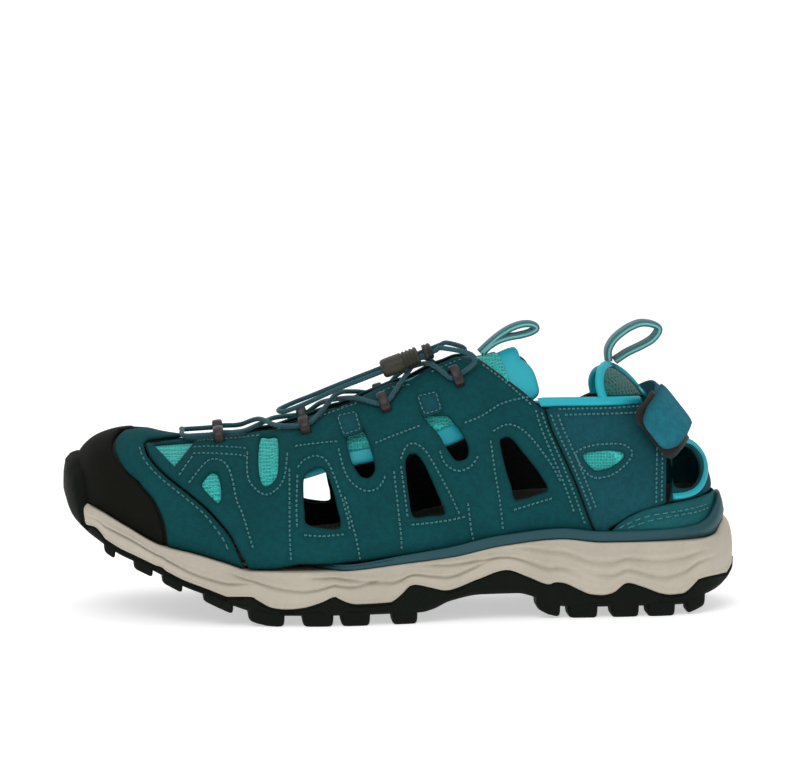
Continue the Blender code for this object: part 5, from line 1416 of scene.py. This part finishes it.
# ================================================================ lacing
KEEP = [((222, 439), 0.0), ((309, 428), 10.0), ((386, 404), 20.0), ((456, 377), 26.0)]
stations = {}
for side in ("lateral", "medial"):
    for i, ((c, r), tilt) in enumerate(KEEP):
        p = on_last([(c, r + 4.5)])[0]
        ta = math.radians(tilt)
        run = np.array([math.cos(ta), 0, math.sin(ta)])
        if side == "medial":
            p = np.array([p[0], 2 * float(last_c(p[0])) - p[1], p[2]])
        n = normals(np.array([p]))[0]
        t = run - n * (run @ n)
        t /= np.linalg.norm(t)
        b = np.cross(n, t)
        base = p + n * (UPPER[1] + .35)
        # moulded arch: rounded lips at both mouths of the tunnel
        secs = []
        for d, g in ((-2.0, -.45), (-1.75, -.12), (-1.2, .05), (0, .1), (1.2, .05), (1.75, -.12), (2.0, -.45)):
            outer, inner = [], []
            for a in np.linspace(0, math.pi, 19):
                outer.append(((4.7 + g) * math.cos(a), 1.9 + (2.9 + g) * math.sin(a)))
                inner.append((2.95 * math.cos(a), 1.9 + 1.6 * math.sin(a)))
            outer = [(4.7 + g, -.15)] + outer + [(-4.7 - g, -.15)]
            inner = [(2.95, .5)] + inner + [(-2.95, .5)]
            secs.append([base + b * u + n * v + t * d for u, v in outer + inner[::-1]])
        m = len(secs[0])
        verts = [q for s2 in secs for q in s2]
        faces = []
        for k in range(len(secs) - 1):
            for j in range(m):
                l = (j + 1) % m
                faces.append((k * m + j, k * m + l, (k + 1) * m + l, (k + 1) * m + j))
        h = m // 2
        for k, rev in ((0, False), (len(secs) - 1, True)):
            for j in range(h - 1):
                q = (k * m + j, k * m + j + 1, k * m + m - 2 - j, k * m + m - 1 - j)
                faces.append(q[::-1] if rev else q)
        q = [(k * m, k * m + m - 1, (k + 1) * m + m - 1, (k + 1) * m) for k in range(0)]
        ob = link("keeper_moulded_%s_%d" % (side, i + 1), verts, faces, M_KEEP)
        crease(ob, 45)
        place(ob, "shoe", "keeper_brown", "keeper_%s_%d" % (side, i + 1))
        stations[(side, i)] = (base + n * 2.0, t, n)
        if i in (2, 3):
            cc, rr = ((350, 428), (428, 406.5))[i - 2]
            tape = spline(arr((cc - 11, rr - 7), (cc - 1, rr - 10.5), (cc + 9, rr - 12), (cc + 12, rr - 3), (cc + 14, rr + 6), (cc + 5, rr + 10),
                              (cc - 5, rr + 12), (cc - 9, rr + 3)), 3, closed=True)
            lift = lateral if side == "lateral" else medial
            rows = [offset_loop(tape, -2.4)]
            ob, face = sheet("anchor_patch_%s_%d" % (side, i - 1), tape, [], lift, OVERLAY, M_SUEDE2, cell=2.4, puff=.2, roundness=.4,
                             seams=[np.vstack([rows[0], rows[0][:1]])])
            place(ob, "shoe", "suede_blue", "keeper_anchor_%s_%d" % (side, i - 1))
            stitches("anchor_stitching_%s_%d" % (side, i - 1), [np.vstack([rows[0], rows[0][:1]])], lift, lambda q, f=face: f(q) + .1, M_THREAD,
                     pitch=4.4, radius=.24, slot="suede_blue")


def ridge_pt(x, lift, th=0.0):
    a, n = over(np.array([[x, th * 25.0]]))
    return a[0] + n[0] * lift


def through(side, i, sense=1):
    p, t, n = stations[(side, i)]
    return [p - t * 2.6 * sense, p, p + t * 2.6 * sense]


AX = np.array([math.cos(math.radians(21)), 0, math.sin(math.radians(21))])
LOCK_C = np.array([0.2, -14.5, 102.6])
LB = np.cross(AX, (0, 0, 1))
LB /= np.linalg.norm(LB)
LB = LB * math.cos(math.radians(20)) + np.cross(AX, LB) * math.sin(math.radians(20))
LB = -LB if LB[1] > 0 else LB
HOLE_S = 1.65
s1, s2 = LB * HOLE_S, -LB * HOLE_S
LEN = 18.5
low, high = 3.0, 5.2
mids = [0.5 * (stations[("lateral", i)][0][0] + stations[("lateral", i + 1)][0][0]) for i in range(3)]
mids[2] += 3.0


def cross(i, first, lift):
    """Strand from one side's keeper i over the ridge to the other side's keeper i + 1."""
    sg = -1 if first == "lateral" else 1
    a, b = stations[(first, i)][0][0] + 2.6, stations[(first, i + 1)][0][0] - 2.6
    w = 0.5
    return [ridge_pt(a * w + mids[i] * (1 - w), 4.7, sg * .25), ridge_pt(mids[i], lift, 0.0),
            ridge_pt(b * w + mids[i] * (1 - w), 4.7, -sg * .25)]


run_a = through("lateral", 0) + cross(0, "lateral", low) + through("medial", 1) + cross(1, "medial", low)
run_a += through("lateral", 2) + cross(2, "lateral", high) + through("medial", 3)
run_b = through("medial", 0) + cross(0, "medial", high) + through("lateral", 1) + cross(1, "lateral", high)
run_b += through("medial", 2) + cross(2, "medial", low) + through("lateral", 3)
rear_l = LOCK_C + AX * (LEN / 2)
back_m = [stations[("medial", 3)][0] + np.array([6.0, -3.0, 5.5]), stations[("medial", 3)][0] + np.array([5.0, -11.0, 9.0]),
          rear_l + s2 + AX * 10.5 + np.array([0, 3.0, -.6]), rear_l + s2 + AX * 7.5, rear_l + s2 + AX * 4.5]
back_l = [stations[("lateral", 3)][0] + np.array([7.5, 1.5, 5.0]), stations[("lateral", 3)][0] + np.array([5.5, 1.6, 8.6]),
          rear_l + s1 + AX * 7.5, rear_l + s1 + AX * 4.5]
straight2 = [LOCK_C + s2 + AX * (LEN / 2 - k * 9.25) for k in range(5)]
straight1 = [LOCK_C + s1 + AX * (LEN / 2 - k * 9.25) for k in range(5)]
bight = [ridge_pt(-34, 8.2, .0), ridge_pt(-43, 7.6, .03), ridge_pt(-47.5, 7.3, -.06), ridge_pt(-45, 7.4, -.17), ridge_pt(-36, 8.2, -.17)]
front_bar = [ridge_pt(-88.5, 4.4, -.25), ridge_pt(-89.5, 4.4, 0), ridge_pt(-88.5, 4.4, .25)]
way = run_a + back_m + straight2 + bight + straight1[::-1] + back_l[::-1] + run_b[::-1] + front_bar[::-1]


def cord(name, way, radius, mat):
    """Braided round cord: crossing plaits raised on the tube."""
    path = spline(np.array(way), 24, closed=True)
    seg = np.linalg.norm(np.roll(path, -1, axis=0) - path, axis=1)
    s = np.concatenate([[0], np.cumsum(seg)])
    total = s[-1]
    n = int(total / (0.34 * FINE))
    u = np.linspace(0, total, n, endpoint=False)
    loop = np.vstack([path, path[:1]])
    path = np.stack([np.interp(u, s, loop[:, k]) for k in range(3)], 1)
    t = np.roll(path, -1, axis=0) - np.roll(path, 1, axis=0)
    t /= np.linalg.norm(t, axis=1, keepdims=True)
    sides = 14
    nrm = np.array([0, 0, 1.0])
    frames = []
    for i in range(n):
        nrm = nrm - t[i] * (nrm @ t[i])
        nrm /= np.linalg.norm(nrm)
        frames.append(nrm.copy())
    turns = round(total / 2.6)
    verts, faces = [], []
    for i in range(n):
        n1 = frames[i]
        n2 = np.cross(t[i], n1)
        ph = 2 * math.pi * turns * i / n
        for k in range(sides):
            q = 2 * math.pi * k / sides
            r = radius * (1.0 + .075 * math.cos(3 * q + ph) * math.cos(3 * q - ph))
            verts.append(path[i] + r * (math.cos(q) * n1 + math.sin(q) * n2))
    for i in range(n):
        j = (i + 1) % n
        for k in range(sides):
            l = (k + 1) % sides
            faces.append((i * sides + k, i * sides + l, j * sides + l, j * sides + k))
    return link(name, verts, faces, mat)


place(cord("elastic_cord", way, 0.98, M_LACE), "shoe", "lace_blue", "lace")
LN = np.cross(AX, LB)


def turned(name, rings, mat, n=40, power=2.3):
    """Moulded body along the lock's axis: rings of (distance, half width, half depth)."""
    verts, faces = [], []
    for d, a, b in rings:
        for u, v in oval(a, b, n, power):
            verts.append(LOCK_C + AX * d + LB * u + LN * v)
    for k in range(len(rings) - 1):
        for j in range(n):
            l = (j + 1) % n
            faces.append((k * n + j, k * n + l, (k + 1) * n + l, (k + 1) * n + j))
    faces.append(tuple(range(n))[::-1])
    faces.append(tuple((len(rings) - 1) * n + j for j in range(n)))
    ob = link(name, verts, faces, mat)
    crease(ob, 55)
    return ob


H = LEN / 2
rings = [(-H, 3.3, 2.4), (-H + .3, 4.0, 3.0), (-H + .9, 4.4, 3.35), (-H + 2, 4.6, 3.55), (-H + 6, 4.55, 3.5), (-H + 8.5, 4.5, 3.45)]
x0 = -H + 9.0
for k in range(4):
    rings += [(x0, 4.5, 3.45), (x0 + .25, 4.1, 3.05), (x0 + .75, 4.1, 3.05), (x0 + 1.0, 4.6, 3.55)]
    x0 += 1.6
rings += [(H - 2.9, 4.5, 3.4), (H - 2.55, 4.1, 3.1), (H - 2.4, 3.5, 2.6)]
place(turned("lock_barrel", rings, M_LOCK), "cord_lock", "lock_olive", "cord_lock_barrel")
rings = [(H - .2, 3.6, 2.7), (H, 4.0, 3.0), (H + 1.2, 4.1, 3.1), (H + 1.5, 3.7, 2.8), (H + 1.9, 3.7, 2.8), (H + 2.2, 4.1, 3.1), (H + 3.0, 3.9, 2.9), (H + 3.4, 3.2, 2.2)]
place(turned("lock_button_cap", rings, M_BLACK), "lock_button", "lock_olive", "cord_lock_button")

# the unseen stiffeners keep their frame shapes with finished materials
for nm, mat in (("shank", M_STEEL), ("insole_board", M_BOARD), ("heel_counter", M_WHITE)):
    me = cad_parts[nm].data
    me.materials.clear()
    me.materials.append(mat)

# ================================================================ floor, light, camera
m = Nodes("floor")
FLOOR = m.out(m.mix(m.noise(6, 2), (0.80, 0.80, 0.80), (0.84, 0.84, 0.84)), 0.9, spec=0.0)
m.b.inputs["Emission Color"].default_value = (1, 1, 1, 1)
m.b.inputs["Emission Strength"].default_value = 0.52
v, f = [], []
prof = [(-2.5, 0)] + [(1.2 + .9 * math.sin(a), .9 - .9 * math.cos(a)) for a in np.linspace(0, math.pi / 2, 14)] + [(2.1, 3.5)]
for y, z in prof:
    v += [(-4.0, y, z), (4.0, y, z)]
for k in range(len(prof) - 1):
    f.append((2 * k, 2 * k + 1, 2 * k + 3, 2 * k + 2))
me = bpy.data.meshes.new("floor")
me.from_pydata(v, [], f)
for p in me.polygons:
    p.use_smooth = True
me.materials.append(FLOOR)
floor = bpy.data.objects.new("floor", me)
bpy.context.scene.collection.objects.link(floor)

scene = bpy.context.scene
scene.view_settings.view_transform = 'Standard'
world = bpy.data.worlds.new("studio")
scene.world = world
world.use_nodes = True
world.node_tree.nodes["Background"].inputs[0].default_value = (1, 1, 1, 1)
world.node_tree.nodes["Background"].inputs[1].default_value = 0.34


def light(name, loc, aim, size, watts):
    d = bpy.data.lights.new(name, 'AREA')
    d.shape = 'RECTANGLE'
    d.size, d.size_y = size
    d.energy = watts
    o = bpy.data.objects.new(name, d)
    o.location = loc
    o.rotation_euler = (Vector(aim) - Vector(loc)).to_track_quat('-Z', 'Y').to_euler()
    bpy.context.scene.collection.objects.link(o)
    return o


light("key", (-0.5, -1.1, 1.35), (0, 0, .05), (1.3, 1.0), 9.5)
light("top", (0.15, 0.1, 1.7), (0, 0, 0), (1.8, 1.6), 6.5)
light("fill", (1.2, -1.0, 0.6), (0, 0, .06), (1.0, 1.0), 1.8)

cd = bpy.data.cameras.new("camera")
cd.sensor_width = 36
cd.lens = 197.6
cam = bpy.data.objects.new("camera", cd)
AIM, DIST = Vector((0, 0.002377, .0917)), 1.8
fwd = Vector((-ST * CR, CT * CR, -SR))
cam.location = AIM - fwd * DIST
cam.rotation_euler = fwd.to_track_quat('-Z', 'Y').to_euler()
scene.collection.objects.link(cam)
scene.camera = cam
